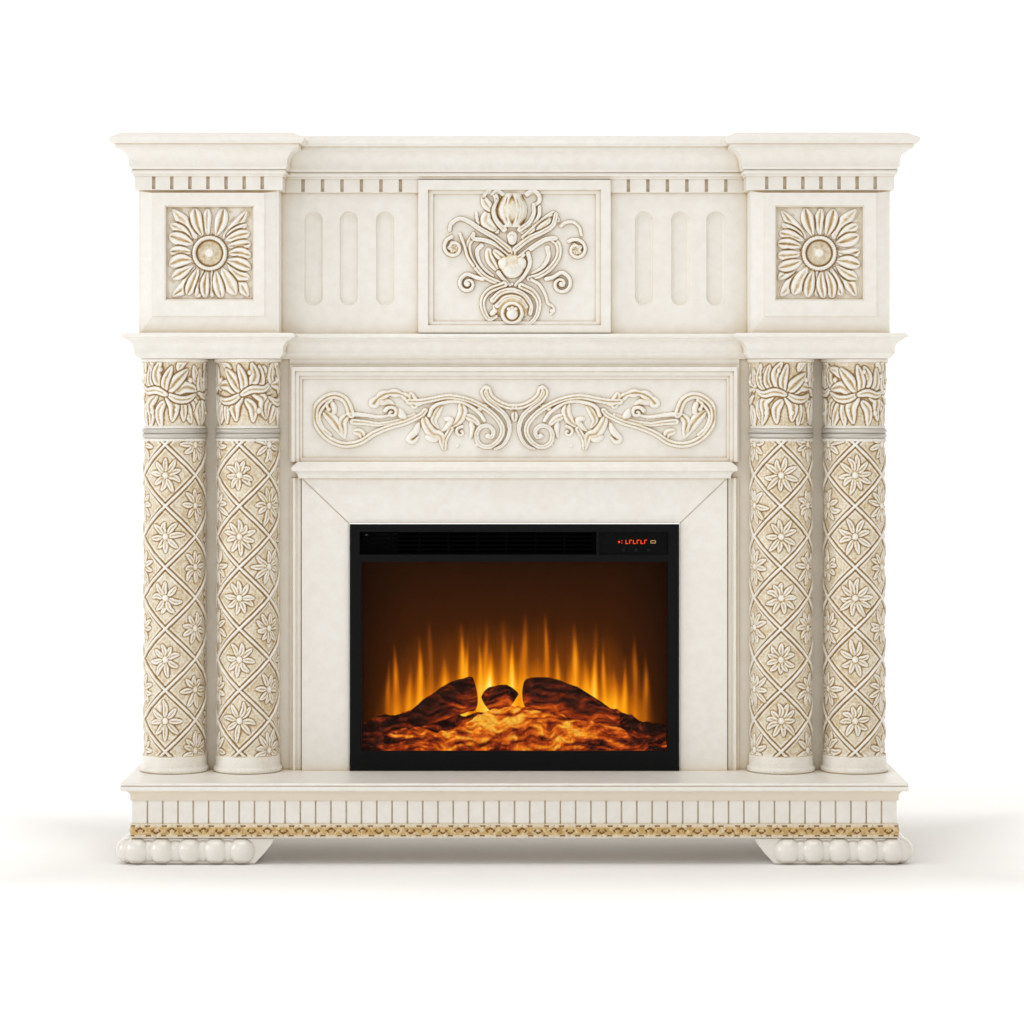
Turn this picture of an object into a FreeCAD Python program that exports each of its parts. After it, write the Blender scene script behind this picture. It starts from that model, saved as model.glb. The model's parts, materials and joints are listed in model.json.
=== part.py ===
import FreeCAD, Part
import math
import os

from FreeCAD import Vector

os.makedirs("parts", exist_ok=True)

# Electric fireplace: a carved mantel on a plinth, with an electric insert set into it.
# Millimetres. X runs to the right, the front faces -Y, Z is up from the floor.
# Depths are given as distances from the back plane, and y_at turns them into Y.

# ---- driving dimensions ----------------------------------------------------------------
DEPTH = 365.0
BOARD = 18.0

# heights
FOOT_TOP = 46.0
TRIM_TOP = 70.0
TILE_TOP = 110.0
COVE_BOTTOM = 117.0
SLAB_BOTTOM = 127.0
SLAB_TOP = 141.0
BODY_TOP = 865.0
MID_TOP = 909.0
DENTIL_BOTTOM = 1157.5
BEAD_BOTTOM = 1181.0
SHELF_BOTTOM = 1236.0
SHELF_TOP = 1256.0

# half widths
SLAB_HALF = 670.0
TILE_HALF = 652.0
TRIM_HALF = 657.0
BODY_HALF = 653.0
BLOCK_INNER = 410.0
PANEL_HALF = 396.0
LEDGE_HALF = 391.0
SURROUND_HALF = 374.0
OPENING_HALF = 291.0
OPENING_TOP = 576.0
SURROUND_TOP = 655.0

# depths from the back plane
BLOCK_FRONT = 246.0
FRIEZE_FRONT = 178.0
PILASTER_FRONT = 172.0
SURROUND_FRONT = 188.0
TILE_FRONT = 347.0
TRIM_FRONT = 352.0
SHELF_REACH = 47.0
ROSETTE_FLOOR = 242.0
ROSETTE_X = -530.0
ROSETTE_Z = 1048.0
ROSETTE_HALF = 75.5
ROSETTE_HALF_TALL = 80.5

# columns
COLUMN_X = (-598.0, -469.0, 469.0, 598.0)
COLUMN_NAMES = ("outer_left", "inner_left", "inner_right", "outer_right")
COLUMN_DEPTH = 186.0
SHAFT_R = 56.0
RING_BOTTOM = 726.0
RING_TOP = 743.0
RING_CORE_R = 50.0

# insert
FRAME_HALF = 289.5
FRAME_TOP = 574.5
FRAME_BACK = 186.0
FRAME_FRONT = 195.0
GLASS_HALF = 269.0
GLASS_BOTTOM = 176.0
GLASS_TOP = 508.0
VENT_BOTTOM = 521.0
VENT_TOP = 561.0
VENT_LEFT = -272.0
VENT_RIGHT = 144.0
CONTROL_RIGHT = 270.0
SHELL_HALF = 276.0
SHELL_BOTTOM = 143.0
SHELL_TOP = 565.0
SHELL_BACK = 24.0
SHEET = 2.0
DECK_Z = 512.0

# turning parts
FAN_DEPTH = 80.0
FAN_Z = 538.0
FAN_R = 20.0
SHAFT_PIN_R = 3.0
RUNNING_GAP = 0.05
SPINNER_DEPTH = 70.0
SPINNER_Z = 215.0

# buttons and switch
BUTTON_X = (192.0, 214.0, 236.0)
BUTTON_NAMES = ("button_power", "button_heat", "button_flame")
BUTTON_Z = 528.5
BUTTON_R = 3.5
ROCKER_X = 200.0
ROCKER_Z = 200.0
ROCKER_DEPTH = 29.0
ROCKER_TILT = 8.0
GLAND_X = 240.0
GLAND_BORE_R = 3.6

SCREW_R = 2.0
SCREW_HEAD_R = 4.0
SCREW_HEAD_H = 2.5


# ---- helpers ---------------------------------------------------------------------------
def y_at(depth):
    """Y of a plane that lies so far in front of the back plane."""
    return DEPTH / 2 - depth


def box(x0, x1, d0, d1, z0, z1):
    """A box between two X, two depths from the back and two heights."""
    return Part.makeBox(x1 - x0, d1 - d0, z1 - z0, Vector(x0, y_at(d1), z0))


def mirrored(shape):
    """The same piece on the other side of the middle plane."""
    return shape.mirror(Vector(0, 0, 0), Vector(1, 0, 0))


def pair(shape):
    """A piece and its mirror image, as two solids."""
    return Part.makeCompound([shape, mirrored(shape)])


def rod_x(x0, x1, depth, z, radius):
    return Part.makeCylinder(radius, x1 - x0, Vector(x0, y_at(depth), z), Vector(1, 0, 0))


def rod_y(x, z, d0, d1, radius):
    return Part.makeCylinder(radius, d1 - d0, Vector(x, y_at(d0), z), Vector(0, -1, 0))


def rod_z(x, depth, z0, z1, radius):
    return Part.makeCylinder(radius, z1 - z0, Vector(x, y_at(depth), z0))


def plate(points, z0, z1):
    """A flat board from plan points (x, depth)."""
    outline = [Vector(x, y_at(depth), z0) for x, depth in points]
    face = Part.Face(Part.makePolygon(outline + [outline[0]]))
    return face.extrude(Vector(0, 0, z1 - z0))


def upright(points, d0, d1):
    """A board standing on edge, from points (x, z) and two depths."""
    outline = [Vector(x, y_at(d0), z) for x, z in points]
    face = Part.Face(Part.makePolygon(outline + [outline[0]]))
    return face.extrude(Vector(0, d0 - d1, 0))


def save(shape, node):
    shape.exportStep(os.path.join("parts", node + ".step"))


def mitre(before, after):
    """How far the corner moves for each millimetre that both runs move outward."""
    scale = 1 + before.dot(after)
    return (before + after) * (1 / scale)


def outward(start, end):
    """Unit vector to the left-hand outside of a run, for a path that goes left to right."""
    along = (end - start).normalize()
    return Vector(along.y, -along.x, 0)


def moulding_runs(path, profile, z0, z1, reach):
    """Mitred lengths of one moulding along a plan path of (x, depth) points.

    profile() returns the closed face of the section, drawn with X as the distance out
    from the path and Y as the height. Ends that meet no other run are cut square.
    """
    points = [Vector(x, y_at(depth), 0) for x, depth in path]
    normals = [outward(a, b) for a, b in zip(points, points[1:])]
    lengths = []
    for i, normal in enumerate(normals):
        start, end = points[i], points[i + 1]
        run = end - start
        along = Vector(run).normalize()
        before = mitre(normals[i - 1], normal) if i > 0 else normal
        after = mitre(normal, normals[i + 1]) if i + 1 < len(normals) else normal
        placed = profile().transformGeometry(section_frame(start - along * reach, normal))
        bar = placed.extrude(run + along * (2 * reach))
        wedge = [start, start + before * reach, end + after * reach, end]
        outline = Part.makePolygon([Vector(p.x, p.y, z0) for p in wedge + [start]])
        cutter = Part.Face(outline).extrude(Vector(0, 0, z1 - z0))
        lengths.append(bar.common(cutter).Solids[0])
    return lengths


def section_frame(origin, normal):
    """Puts a section drawn in X (out) and Y (up) on the plane of a run's start."""
    side = Vector(0, 0, 1).cross(normal)
    return FreeCAD.Matrix(normal.x, 0, side.x, origin.x,
                          normal.y, 0, side.y, origin.y,
                          normal.z, 1, side.z, 0,
                          0, 0, 0, 1)


def section(*edges_or_points):
    """A closed section face from points, where a 3-tuple (start, middle, end) is an arc."""
    edges = []
    last = None
    first = None
    for item in edges_or_points:
        arc = isinstance(item[0], tuple)
        start = Vector(*(item[0] if arc else item), 0)
        if last is not None and (start - last).Length > 1e-6:
            edges.append(Part.makeLine(last, start))
        if arc:
            middle, end = (Vector(*point, 0) for point in item[1:])
            edges.append(Part.Arc(start, middle, end).toShape())
            last = end
        else:
            last = start
        first = first or start
    edges.append(Part.makeLine(last, first))
    return Part.Face(Part.Wire(edges))


def cove(out0, z0, out1, z1):
    """A quarter-round hollow that spreads outward as it rises, as an arc's three points."""
    half = math.sqrt(0.5)
    middle = (out0 + (out1 - out0) * (1 - half), z0 + (z1 - z0) * half)
    return (out0, z0), middle, (out1, z1)


BREAK_PATH = ((-BODY_HALF, 0), (-BODY_HALF, BLOCK_FRONT), (-BLOCK_INNER, BLOCK_FRONT),
              (-BLOCK_INNER, FRIEZE_FRONT), (BLOCK_INNER, FRIEZE_FRONT), (BLOCK_INNER, BLOCK_FRONT),
              (BODY_HALF, BLOCK_FRONT), (BODY_HALF, 0))


def break_outline(out):
    """Plan of a shelf that steps forward over both ends, spread outward by so much."""
    return ((-BODY_HALF - out, 0), (-BODY_HALF - out, BLOCK_FRONT + out),
            (-BLOCK_INNER + out, BLOCK_FRONT + out), (-BLOCK_INNER + out, FRIEZE_FRONT + out),
            (BLOCK_INNER - out, FRIEZE_FRONT + out), (BLOCK_INNER - out, BLOCK_FRONT + out),
            (BODY_HALF + out, BLOCK_FRONT + out), (BODY_HALF + out, 0))


# ---- plinth ----------------------------------------------------------------------------
def front_foot():
    """Left front foot: a sloping bracket, a row of balls before it and a row at its outer end."""
    ball_r = FOOT_TOP / 2
    pitch = 45.0
    first_x = -TRIM_HALF + 12
    last_x = first_x + 4 * pitch
    side_x = first_x - 12
    front = TRIM_FRONT - 14
    front_row = bead_row(5, pitch, ball_r)
    front_row.translate(Vector(first_x, y_at(front), ball_r))
    side_row = bead_row(2, pitch, ball_r)
    side_row.rotate(Vector(0, 0, 0), Vector(0, 0, 1), 90)
    side_row.translate(Vector(side_x, y_at(front - 2 * ball_r - 1), ball_r))
    inner = side_x + ball_r
    bracket = upright(((inner, 0), (last_x + 19, 0), (last_x + 55, FOOT_TOP), (inner, FOOT_TOP)),
                      front - 2.5 * pitch, front - ball_r)
    return Part.makeCompound([bracket, front_row, side_row])


def bead_row(count, pitch, radius):
    """A row of balls that run into each other, turned about X, with the first at the origin."""
    waist = math.sqrt(radius ** 2 - (pitch / 2) ** 2)
    arcs = []
    for i in range(count):
        x = i * pitch
        start = (x - pitch / 2, waist) if i > 0 else (-radius, 0)
        end = (x + pitch / 2, waist) if i + 1 < count else (x + radius, 0)
        arcs.append((start, (x, radius), end))
    return section(*arcs).revolve(Vector(0, 0, 0), Vector(1, 0, 0), 360)


def plinth():
    foot = front_foot()
    save(foot, "foot_left")
    save(mirrored(foot), "foot_right")
    save(pair(box(-TRIM_HALF + 30, -TRIM_HALF + 120, 20, 80, 0, FOOT_TOP)), "rear_feet")

    board_half = TILE_HALF - 12
    board_front = TILE_FRONT - 12
    save(box(-board_half, board_half, board_front - BOARD, board_front, FOOT_TOP, TILE_TOP),
         "plinth_front_board")
    end = box(-board_half, -board_half + BOARD, 10, board_front - BOARD, FOOT_TOP, TILE_TOP)
    save(pair(end), "plinth_end_boards")

    save(tile_band(board_half, board_front), "plinth_tile_band")
    trim = strips(TRIM_HALF, TRIM_FRONT, board_half, board_front, FOOT_TOP, TRIM_TOP)
    save(Part.makeCompound(trim), "gilt_trim")
    save(underboard(), "slab_underboard")
    slab = box(-SLAB_HALF, SLAB_HALF, 0, DEPTH, SLAB_BOTTOM, SLAB_TOP)
    rounded = [e for e in slab.Edges if e.BoundBox.ZLength < 1e-6 and e.BoundBox.YMax < y_at(1)]
    slab = slab.makeFillet(4.0, rounded)
    save(slab.cut(slab_quirk()), "hearth_slab")


def slab_quirk():
    """Narrow groove along the slab's front and ends, just under its top edge."""
    deep = 1.8
    tall = 1.6
    bottom = SLAB_TOP - 5.5
    around = box(-SLAB_HALF - deep, SLAB_HALF + deep, 0, DEPTH + deep, bottom, bottom + tall)
    core = box(-SLAB_HALF + deep, SLAB_HALF - deep, 0, DEPTH - deep, bottom, bottom + tall)
    return around.cut(core)


def strips(half, front, board_half, board_front, z0, z1):
    """A strip along the plinth's front, and one along each end."""
    middle = box(-half, half, board_front, front, z0, z1)
    end = box(-half, -board_half, 10, board_front, z0, z1)
    return [middle, end, mirrored(end)]


def tile_band(board_half, board_front):
    """Upright tiles with narrow grooves between them, on the front and both ends."""
    middle, left, right = strips(TILE_HALF, TILE_FRONT, board_half, board_front, TRIM_TOP, TILE_TOP)
    count = 50
    pitch = 2 * TILE_HALF / count
    groove = 2.8
    deep = 2.5
    cuts = []
    for i in range(1, count):
        x = -TILE_HALF + i * pitch
        cuts.append(box(x - groove / 2, x + groove / 2, TILE_FRONT - deep, TILE_FRONT, TRIM_TOP, TILE_TOP))
    middle = middle.cut(Part.makeCompound(cuts))
    side_cuts = []
    for i in range(1, 13):
        depth = TILE_FRONT - i * pitch
        side_cuts.append(box(-TILE_HALF, -TILE_HALF + deep, depth - groove / 2, depth + groove / 2,
                             TRIM_TOP, TILE_TOP))
    left = left.cut(Part.makeCompound(side_cuts))
    return Part.makeCompound([middle, left, mirrored(left)])


def underboard():
    """Board under the slab, with a hollow cove along its front and ends."""
    half = SLAB_HALF - 5
    front = DEPTH - 5
    hollow = SLAB_BOTTOM - COVE_BOTTOM
    board = box(-half, half, 0, front, COVE_BOTTOM, SLAB_BOTTOM)
    lower = box(-half + hollow, half - hollow, 0, front - hollow, TILE_TOP, COVE_BOTTOM)
    board = board.cut(rod_x(-half, half, front, COVE_BOTTOM, hollow))
    for x in (-half, half):
        board = board.cut(Part.makeCylinder(hollow, DEPTH, Vector(x, y_at(0), COVE_BOTTOM), Vector(0, -1, 0)))
    return board.fuse(lower).removeSplitter()


# ---- body between the slab and the mid cornice -----------------------------------------
def column(x):
    """One cast column: base band, lattice shaft, core for the ring and a flared capital."""
    base_top = SLAB_TOP + 21
    outline = section((0, SLAB_TOP), (SHAFT_R + 4, SLAB_TOP), (SHAFT_R + 4, base_top - 8),
                      (SHAFT_R, base_top), (SHAFT_R, RING_BOTTOM), (RING_CORE_R, RING_BOTTOM),
                      (RING_CORE_R, RING_TOP), (SHAFT_R - 1, RING_TOP),
                      ((SHAFT_R - 1, RING_TOP + 50), (SHAFT_R, RING_TOP + 78), (SHAFT_R + 4, RING_TOP + 106)),
                      (SHAFT_R + 4, BODY_TOP), (0, BODY_TOP))
    turned = outline.rotate(Vector(0, 0, 0), Vector(1, 0, 0), 90)
    turned = turned.revolve(Vector(0, 0, 0), Vector(0, 0, 1), 360)
    turned.translate(Vector(x, y_at(COLUMN_DEPTH), 0))
    return turned.common(in_front_of_pilaster(x)).Solids[0]


def in_front_of_pilaster(x):
    return box(x - 70, x + 70, PILASTER_FRONT, PILASTER_FRONT + 100, 0, BODY_TOP)


def column_ring(x):
    """Double half-round ring that sits round the column's core."""
    inner = RING_CORE_R + 0.3
    outer = SHAFT_R + 1
    half = (RING_TOP - RING_BOTTOM) / 2
    middle = RING_BOTTOM + half
    neck = outer - half / 2
    ring = section((inner, RING_BOTTOM),
                   ((neck, RING_BOTTOM), (outer, RING_BOTTOM + half / 2), (neck, middle)),
                   ((neck, middle), (outer, middle + half / 2), (neck, RING_TOP)),
                   (inner, RING_TOP))
    turned = ring.rotate(Vector(0, 0, 0), Vector(1, 0, 0), 90)
    turned = turned.revolve(Vector(0, 0, 0), Vector(0, 0, 1), 360)
    turned.translate(Vector(x, y_at(COLUMN_DEPTH), 0))
    return turned.common(in_front_of_pilaster(x)).Solids[0]


def body():
    for x, name in zip(COLUMN_X, COLUMN_NAMES):
        save(column(x), "column_" + name)
    save(Part.makeCompound([column_ring(x) for x in COLUMN_X]), "column_rings")

    pilaster = box(-BODY_HALF + 3, -PANEL_HALF, PILASTER_FRONT - BOARD, PILASTER_FRONT, SLAB_TOP, BODY_TOP)
    save(pilaster, "pilaster_board_left")
    save(mirrored(pilaster), "pilaster_board_right")
    side = box(-BODY_HALF + 3, -BODY_HALF + 3 + BOARD, 0, PILASTER_FRONT - BOARD, SLAB_TOP, BODY_TOP)
    save(side, "side_panel_left")
    save(mirrored(side), "side_panel_right")

    surround()
    save(pair(step_moulding()), "step_mouldings")
    ledge_top = SURROUND_TOP + 29
    save(ledge(ledge_top), "ledge_moulding")
    scroll_panel(ledge_top)


def surround():
    """Three flat boards round the opening, with a fine groove along their mitred joints."""
    back = SURROUND_FRONT - BOARD
    wide = 1.4
    deep = 1.5
    groove = upright(((-SURROUND_HALF, SURROUND_TOP - wide), (-OPENING_HALF, OPENING_TOP - wide),
                      (-OPENING_HALF, OPENING_TOP + wide), (-SURROUND_HALF, SURROUND_TOP + wide)),
                     SURROUND_FRONT - deep, SURROUND_FRONT)
    left = upright(((-SURROUND_HALF, SLAB_TOP), (-OPENING_HALF, SLAB_TOP),
                    (-OPENING_HALF, OPENING_TOP), (-SURROUND_HALF, SURROUND_TOP)), back, SURROUND_FRONT)
    left = left.cut(groove)
    save(left, "surround_left")
    save(mirrored(left), "surround_right")
    top = upright(((-SURROUND_HALF, SURROUND_TOP), (-OPENING_HALF, OPENING_TOP),
                   (OPENING_HALF, OPENING_TOP), (SURROUND_HALF, SURROUND_TOP)), back, SURROUND_FRONT)
    save(top.cut(groove).cut(mirrored(groove)), "surround_top")


def step_moulding():
    """Upright moulding left of the surround: a ridge, a slope and a quirk beside the board."""
    back = SURROUND_FRONT - BOARD
    low = 176.0
    middle = 181.0
    ridge = 186.0
    inner = -SURROUND_HALF
    return plate(((-PANEL_HALF, back), (-PANEL_HALF, low), (-LEDGE_HALF - 1, low),
                  (-LEDGE_HALF + 1, ridge), (inner - 12, ridge), (inner - 8, middle),
                  (inner - 2, middle), (inner - 2, low), (inner, low), (inner, back)),
                 SLAB_TOP, SURROUND_TOP)


def ledge(top):
    """Small shelf over the surround, with mitred ends that return to the pilasters."""
    reach = 12.0
    front = 193.0
    half = LEDGE_HALF - reach
    nose_bottom = SURROUND_TOP + 14
    nose_top = top - 9

    def profile():
        return section((0, SURROUND_TOP), (1, SURROUND_TOP), cove(1, SURROUND_TOP + 1, 11, nose_bottom - 1),
                       (reach, nose_bottom), (reach, nose_top), (2, top), (0, top))

    path = ((-half, PILASTER_FRONT), (-half, front), (half, front), (half, PILASTER_FRONT))
    core = box(-half, half, PILASTER_FRONT, front, SURROUND_TOP, top)
    back = box(-PANEL_HALF, PANEL_HALF, 160, PILASTER_FRONT, SURROUND_TOP, top)
    runs = moulding_runs(path, profile, SURROUND_TOP, top, 30)
    return core.multiFuse([back] + runs).removeSplitter()


def scroll_panel(bottom):
    """Panel with a stepped frame round it and the scroll carving in its middle."""
    save(box(-PANEL_HALF, PANEL_HALF, 160, FRIEZE_FRONT, bottom, BODY_TOP), "scroll_panel")
    gap_above = 10.0
    steps = ((0, 22, 4), (4, 17, 8), (4, 10, 12))
    top = BODY_TOP - gap_above
    frame = []
    for outer, inner, rise in steps:
        frame.append(arch_frame(PANEL_HALF - outer, PANEL_HALF - inner, bottom,
                                top - outer, top - inner * 1.15, FRIEZE_FRONT, FRIEZE_FRONT + rise))
    sill = box(-PANEL_HALF + 22, PANEL_HALF - 22, FRIEZE_FRONT, FRIEZE_FRONT + 4, bottom, bottom + 7)
    frame.append(sill)
    save(frame[0].multiFuse(frame[1:]).removeSplitter(), "scroll_panel_moulding")
    rise = gap_above + 25

    middle = (bottom + BODY_TOP - rise) / 2
    carving = wavy_band(352, 44, middle, FRIEZE_FRONT, FRIEZE_FRONT + 13)
    save(carving, "scroll_ornament")


def arch_frame(outer, inner, bottom, outer_top, inner_top, d0, d1):
    """Two uprights and a cross-piece in one flat layer, open at the bottom."""
    return upright(((-outer, bottom), (-inner, bottom), (-inner, inner_top), (inner, inner_top),
                    (inner, bottom), (outer, bottom), (outer, outer_top), (-outer, outer_top)), d0, d1)


def wavy_band(half, tall, z, d0, d1):
    """Closed outline of a running scroll: wide at its ends and middle, slim in between."""
    steps = 12
    upper = []
    for i in range(steps + 1):
        share = -1 + 2 * i / steps
        height = tall * (0.72 + 0.28 * math.cos(2 * math.pi * share))
        upper.append((half * share, z + height))
    lower = [(x, 2 * z - height) for x, height in reversed(upper)]
    edges = []
    for row in (upper, lower):
        curve = Part.BSplineCurve()
        curve.interpolate([Vector(x, y_at(d0), height) for x, height in row])
        edges.append(curve.toShape())
    ends = (upper[-1], lower[0]), (lower[-1], upper[0])
    for a, b in ends:
        edges.append(Part.makeLine(Vector(a[0], y_at(d0), a[1]), Vector(b[0], y_at(d0), b[1])))
    wire = Part.Wire(Part.__sortEdges__(edges))
    return Part.Face(wire).extrude(Vector(0, d0 - d1, 0))


# ---- upper part ------------------------------------------------------------------------
def mid_cornice():
    """Shelf over the columns with a moulded edge that steps forward with the blocks."""
    core = plate(break_outline(0), BODY_TOP, MID_TOP)

    def profile():
        return section((0, BODY_TOP), (1, BODY_TOP), (6, BODY_TOP + 6), (8, BODY_TOP + 9),
                       cove(8, BODY_TOP + 10, 21, MID_TOP - 11), (23, MID_TOP - 9),
                       (29, MID_TOP - 7), (29, MID_TOP - 4), (25, MID_TOP), (0, MID_TOP))

    runs = moulding_runs(BREAK_PATH, profile, BODY_TOP, MID_TOP, 60)
    save(core.multiFuse(runs).removeSplitter(), "mid_cornice")


def frieze():
    """Upper board with round-ended flutes, and the framed panel applied to its middle."""
    board = box(-BLOCK_INNER, BLOCK_INNER, FRIEZE_FRONT - BOARD, FRIEZE_FRONT, MID_TOP, SHELF_BOTTOM)
    flute_r = 16.0
    flute_bottom = 959.0
    flute_top = 1125.0
    deep = 7.0
    for x in (228, 292, 354):
        for side in (-1, 1):
            centre = side * x
            slot = box(centre - flute_r, centre + flute_r, FRIEZE_FRONT - deep, FRIEZE_FRONT,
                       flute_bottom + flute_r, flute_top - flute_r)
            for z in (flute_bottom + flute_r, flute_top - flute_r):
                slot = slot.fuse(rod_y(centre, z, FRIEZE_FRONT - deep, FRIEZE_FRONT, flute_r))
            slot = slot.removeSplitter()
            floor_edges = [e for e in slot.Edges
                           if e.BoundBox.YMin > y_at(FRIEZE_FRONT - deep) - 0.01]
            board = board.cut(slot.makeFillet(5.0, floor_edges))
    save(board, "frieze_board")

    panel = box(-169, 169, FRIEZE_FRONT, FRIEZE_FRONT + 14, 911, DENTIL_BOTTOM + 22)
    panel = panel.cut(box(-152, 152, FRIEZE_FRONT + 9, FRIEZE_FRONT + 14, 924, 1162))
    panel = panel.cut(box(-143, 143, FRIEZE_FRONT + 5, FRIEZE_FRONT + 9, 931, 1155))
    save(panel, "centre_panel")

    outline = Part.BSplineCurve()
    points = [Vector(x, y_at(FRIEZE_FRONT + 5), z) for x, z in
              ((0, 1148), (45, 1120), (124, 1090), (118, 1040), (60, 990), (50, 940), (0, 934),
               (-50, 940), (-60, 990), (-118, 1040), (-124, 1090), (-45, 1120))]
    outline.interpolate(points, PeriodicFlag=True)
    face = Part.Face(Part.Wire(outline.toShape()))
    save(face.extrude(Vector(0, -18, 0)), "cartouche")


def upper_block():
    """Left end block: front board with a bevelled panel and a square recess, and two sides."""
    wall = 16.0
    x0 = -BODY_HALF
    x1 = -BLOCK_INNER
    front = BLOCK_FRONT - wall
    block = box(x0, x1, front, BLOCK_FRONT, MID_TOP, SHELF_BOTTOM)
    block = block.fuse(box(x0, x0 + wall, 0, front, MID_TOP, SHELF_BOTTOM))
    inner_side = box(x1 - wall, x1, 0, front, MID_TOP, SHELF_BOTTOM)
    block = block.fuse(inner_side)
    block = block.fuse(bevelled_panel(x0 + 3, x1 - 3, MID_TOP + 2, DENTIL_BOTTOM - 2))
    return block.cut(rosette_recess()).removeSplitter()


def bevelled_panel(x0, x1, z0, z1):
    """Raised field with wide sloping edges that end in a small step round the flat."""
    rise = 7.0
    step = 1.6
    slope = 21.0
    lower_slope = 27.0
    upper_slope = 3.0
    foot = [Vector(x, y_at(BLOCK_FRONT), z) for x, z in ((x0, z0), (x1, z0), (x1, z1), (x0, z1))]
    flat = ((x0 + slope, z0 + lower_slope), (x1 - slope, z0 + lower_slope),
            (x1 - slope, z1 - upper_slope), (x0 + slope, z1 - upper_slope))
    top = [Vector(x, y_at(BLOCK_FRONT + rise - step), z) for x, z in flat]
    wires = [Part.makePolygon(points + [points[0]]) for points in (foot, top)]
    return Part.makeLoft(wires, True, True).fuse(upright(flat, BLOCK_FRONT, BLOCK_FRONT + rise))


def rosette_recess():
    """Square hole for the flower, with a shallow wider rebate at its mouth."""
    rebate = 2.0
    mouth = BLOCK_FRONT + 20
    hole = box(ROSETTE_X - ROSETTE_HALF, ROSETTE_X + ROSETTE_HALF, ROSETTE_FLOOR, mouth,
               ROSETTE_Z - ROSETTE_HALF_TALL, ROSETTE_Z + ROSETTE_HALF_TALL)
    half = ROSETTE_HALF + rebate
    tall = ROSETTE_HALF_TALL + rebate
    return hole.fuse(box(ROSETTE_X - half, ROSETTE_X + half, BLOCK_FRONT + 5.5, mouth,
                         ROSETTE_Z - tall, ROSETTE_Z + tall))


def rosette():
    """Square carved flower that fills the block's recess, with a ring boss."""
    floor = ROSETTE_FLOOR
    play = 1.0
    half = ROSETTE_HALF - play
    tall = ROSETTE_HALF_TALL - play
    leaf = box(ROSETTE_X - half, ROSETTE_X + half, floor, floor + 10, ROSETTE_Z - tall, ROSETTE_Z + tall)
    boss = rod_y(ROSETTE_X, ROSETTE_Z, floor, floor + 20, 31)
    boss = boss.cut(rod_y(ROSETTE_X, ROSETTE_Z, floor + 14, floor + 20, 22))
    button = rod_y(ROSETTE_X, ROSETTE_Z, floor, floor + 19, 11)
    return leaf.fuse(boss).fuse(button).removeSplitter()


def dentils():
    """Dentil course in mitred lengths, with square blocks and gaps; it stops at the panel."""
    reach = 7.0
    stop = 169.0

    def profile():
        return section((0, DENTIL_BOTTOM), (reach, DENTIL_BOTTOM), (reach, BEAD_BOTTOM), (0, BEAD_BOTTOM))

    half_path = BREAK_PATH[:4] + ((-stop, FRIEZE_FRONT),)
    # first slot and pitch of the end, the block's front, its inner side and the middle
    spacing = ((34, 31.4), (33.5, 31.4), (20, 31.4), (38, 34.3))
    left = []
    runs = moulding_runs(half_path, profile, DENTIL_BOTTOM, BEAD_BOTTOM, 40)
    for run, (first, pitch) in zip(runs, spacing):
        left.append(run.cut(dentil_slots(run.BoundBox, first, pitch)))
    right = [mirrored(run) for run in left]
    save(Part.makeCompound([s for run in left + right for s in run.Solids]), "dentil_course")


def dentil_slots(bounds, first, pitch):
    """Slots along one length, counted from its left or rear end."""
    gap = 6.0
    deep = 5.0
    end_tile = 12.0
    base = DENTIL_BOTTOM + 1.5
    tall = BEAD_BOTTOM - base
    along_x = bounds.XLength > bounds.YLength
    length = max(bounds.XLength, bounds.YLength)
    outer_side = bounds.XMin < -BODY_HALF - 1
    slots = []
    place = first
    while place < length - end_tile:
        if along_x:
            corner = Vector(bounds.XMin + place - gap / 2, bounds.YMin, base)
            slots.append(Part.makeBox(gap, deep, tall, corner))
        else:
            x = bounds.XMin if outer_side else bounds.XMax - deep
            corner = Vector(x, bounds.YMax - place - gap / 2, base)
            slots.append(Part.makeBox(deep, gap, tall, corner))
        place += pitch
    return Part.makeCompound(slots)


def crown():
    """Crown moulding in mitred lengths, and the shelf with its sloping upper edge."""
    cove_bottom = BEAD_BOTTOM + 17
    cove_top = SHELF_BOTTOM - 7

    def profile():
        return section((0, BEAD_BOTTOM), (9, BEAD_BOTTOM), (9, BEAD_BOTTOM + 4),
                       ((9, BEAD_BOTTOM + 4), (13, BEAD_BOTTOM + 8), (9, BEAD_BOTTOM + 12)),
                       (12, BEAD_BOTTOM + 12), (15, cove_bottom), cove(16, cove_bottom, 34, cove_top),
                       (37, cove_top), (37, SHELF_BOTTOM), (0, SHELF_BOTTOM))

    save(Part.makeCompound(moulding_runs(BREAK_PATH, profile, BEAD_BOTTOM, SHELF_BOTTOM, 80)),
         "crown_moulding")
    nose_bottom = SHELF_BOTTOM + 5
    nose_top = SHELF_BOTTOM + 10
    shelf = flared_plate(SHELF_REACH - 5, SHELF_BOTTOM, SHELF_REACH, nose_bottom)
    shelf = shelf.fuse(flared_plate(SHELF_REACH, nose_bottom, SHELF_REACH, nose_top))
    shelf = shelf.fuse(flared_plate(SHELF_REACH, nose_top, SHELF_REACH - 20, SHELF_TOP))
    for side in (-1, 1):
        for hole in bracket_holes(side):
            shelf = shelf.cut(rod_z(hole[0], hole[1], SHELF_BOTTOM, SHELF_BOTTOM + 11, SCREW_R + 0.05))
    save(shelf.removeSplitter(), "top_shelf")


def flared_plate(out0, z0, out1, z1):
    """A layer of the stepped shelf whose edge runs from one reach to another."""
    wires = []
    for out, z in ((out0, z0), (out1, z1)):
        points = [Vector(x, y_at(depth), z) for x, depth in break_outline(out)]
        wires.append(Part.makePolygon(points + [points[0]]))
    return Part.makeLoft(wires, True, True)


def bracket_holes(side):
    """Places of one bracket's screws into the shelf."""
    return [(side * (350 + dx), 25) for dx in (-15, 15)]


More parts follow.
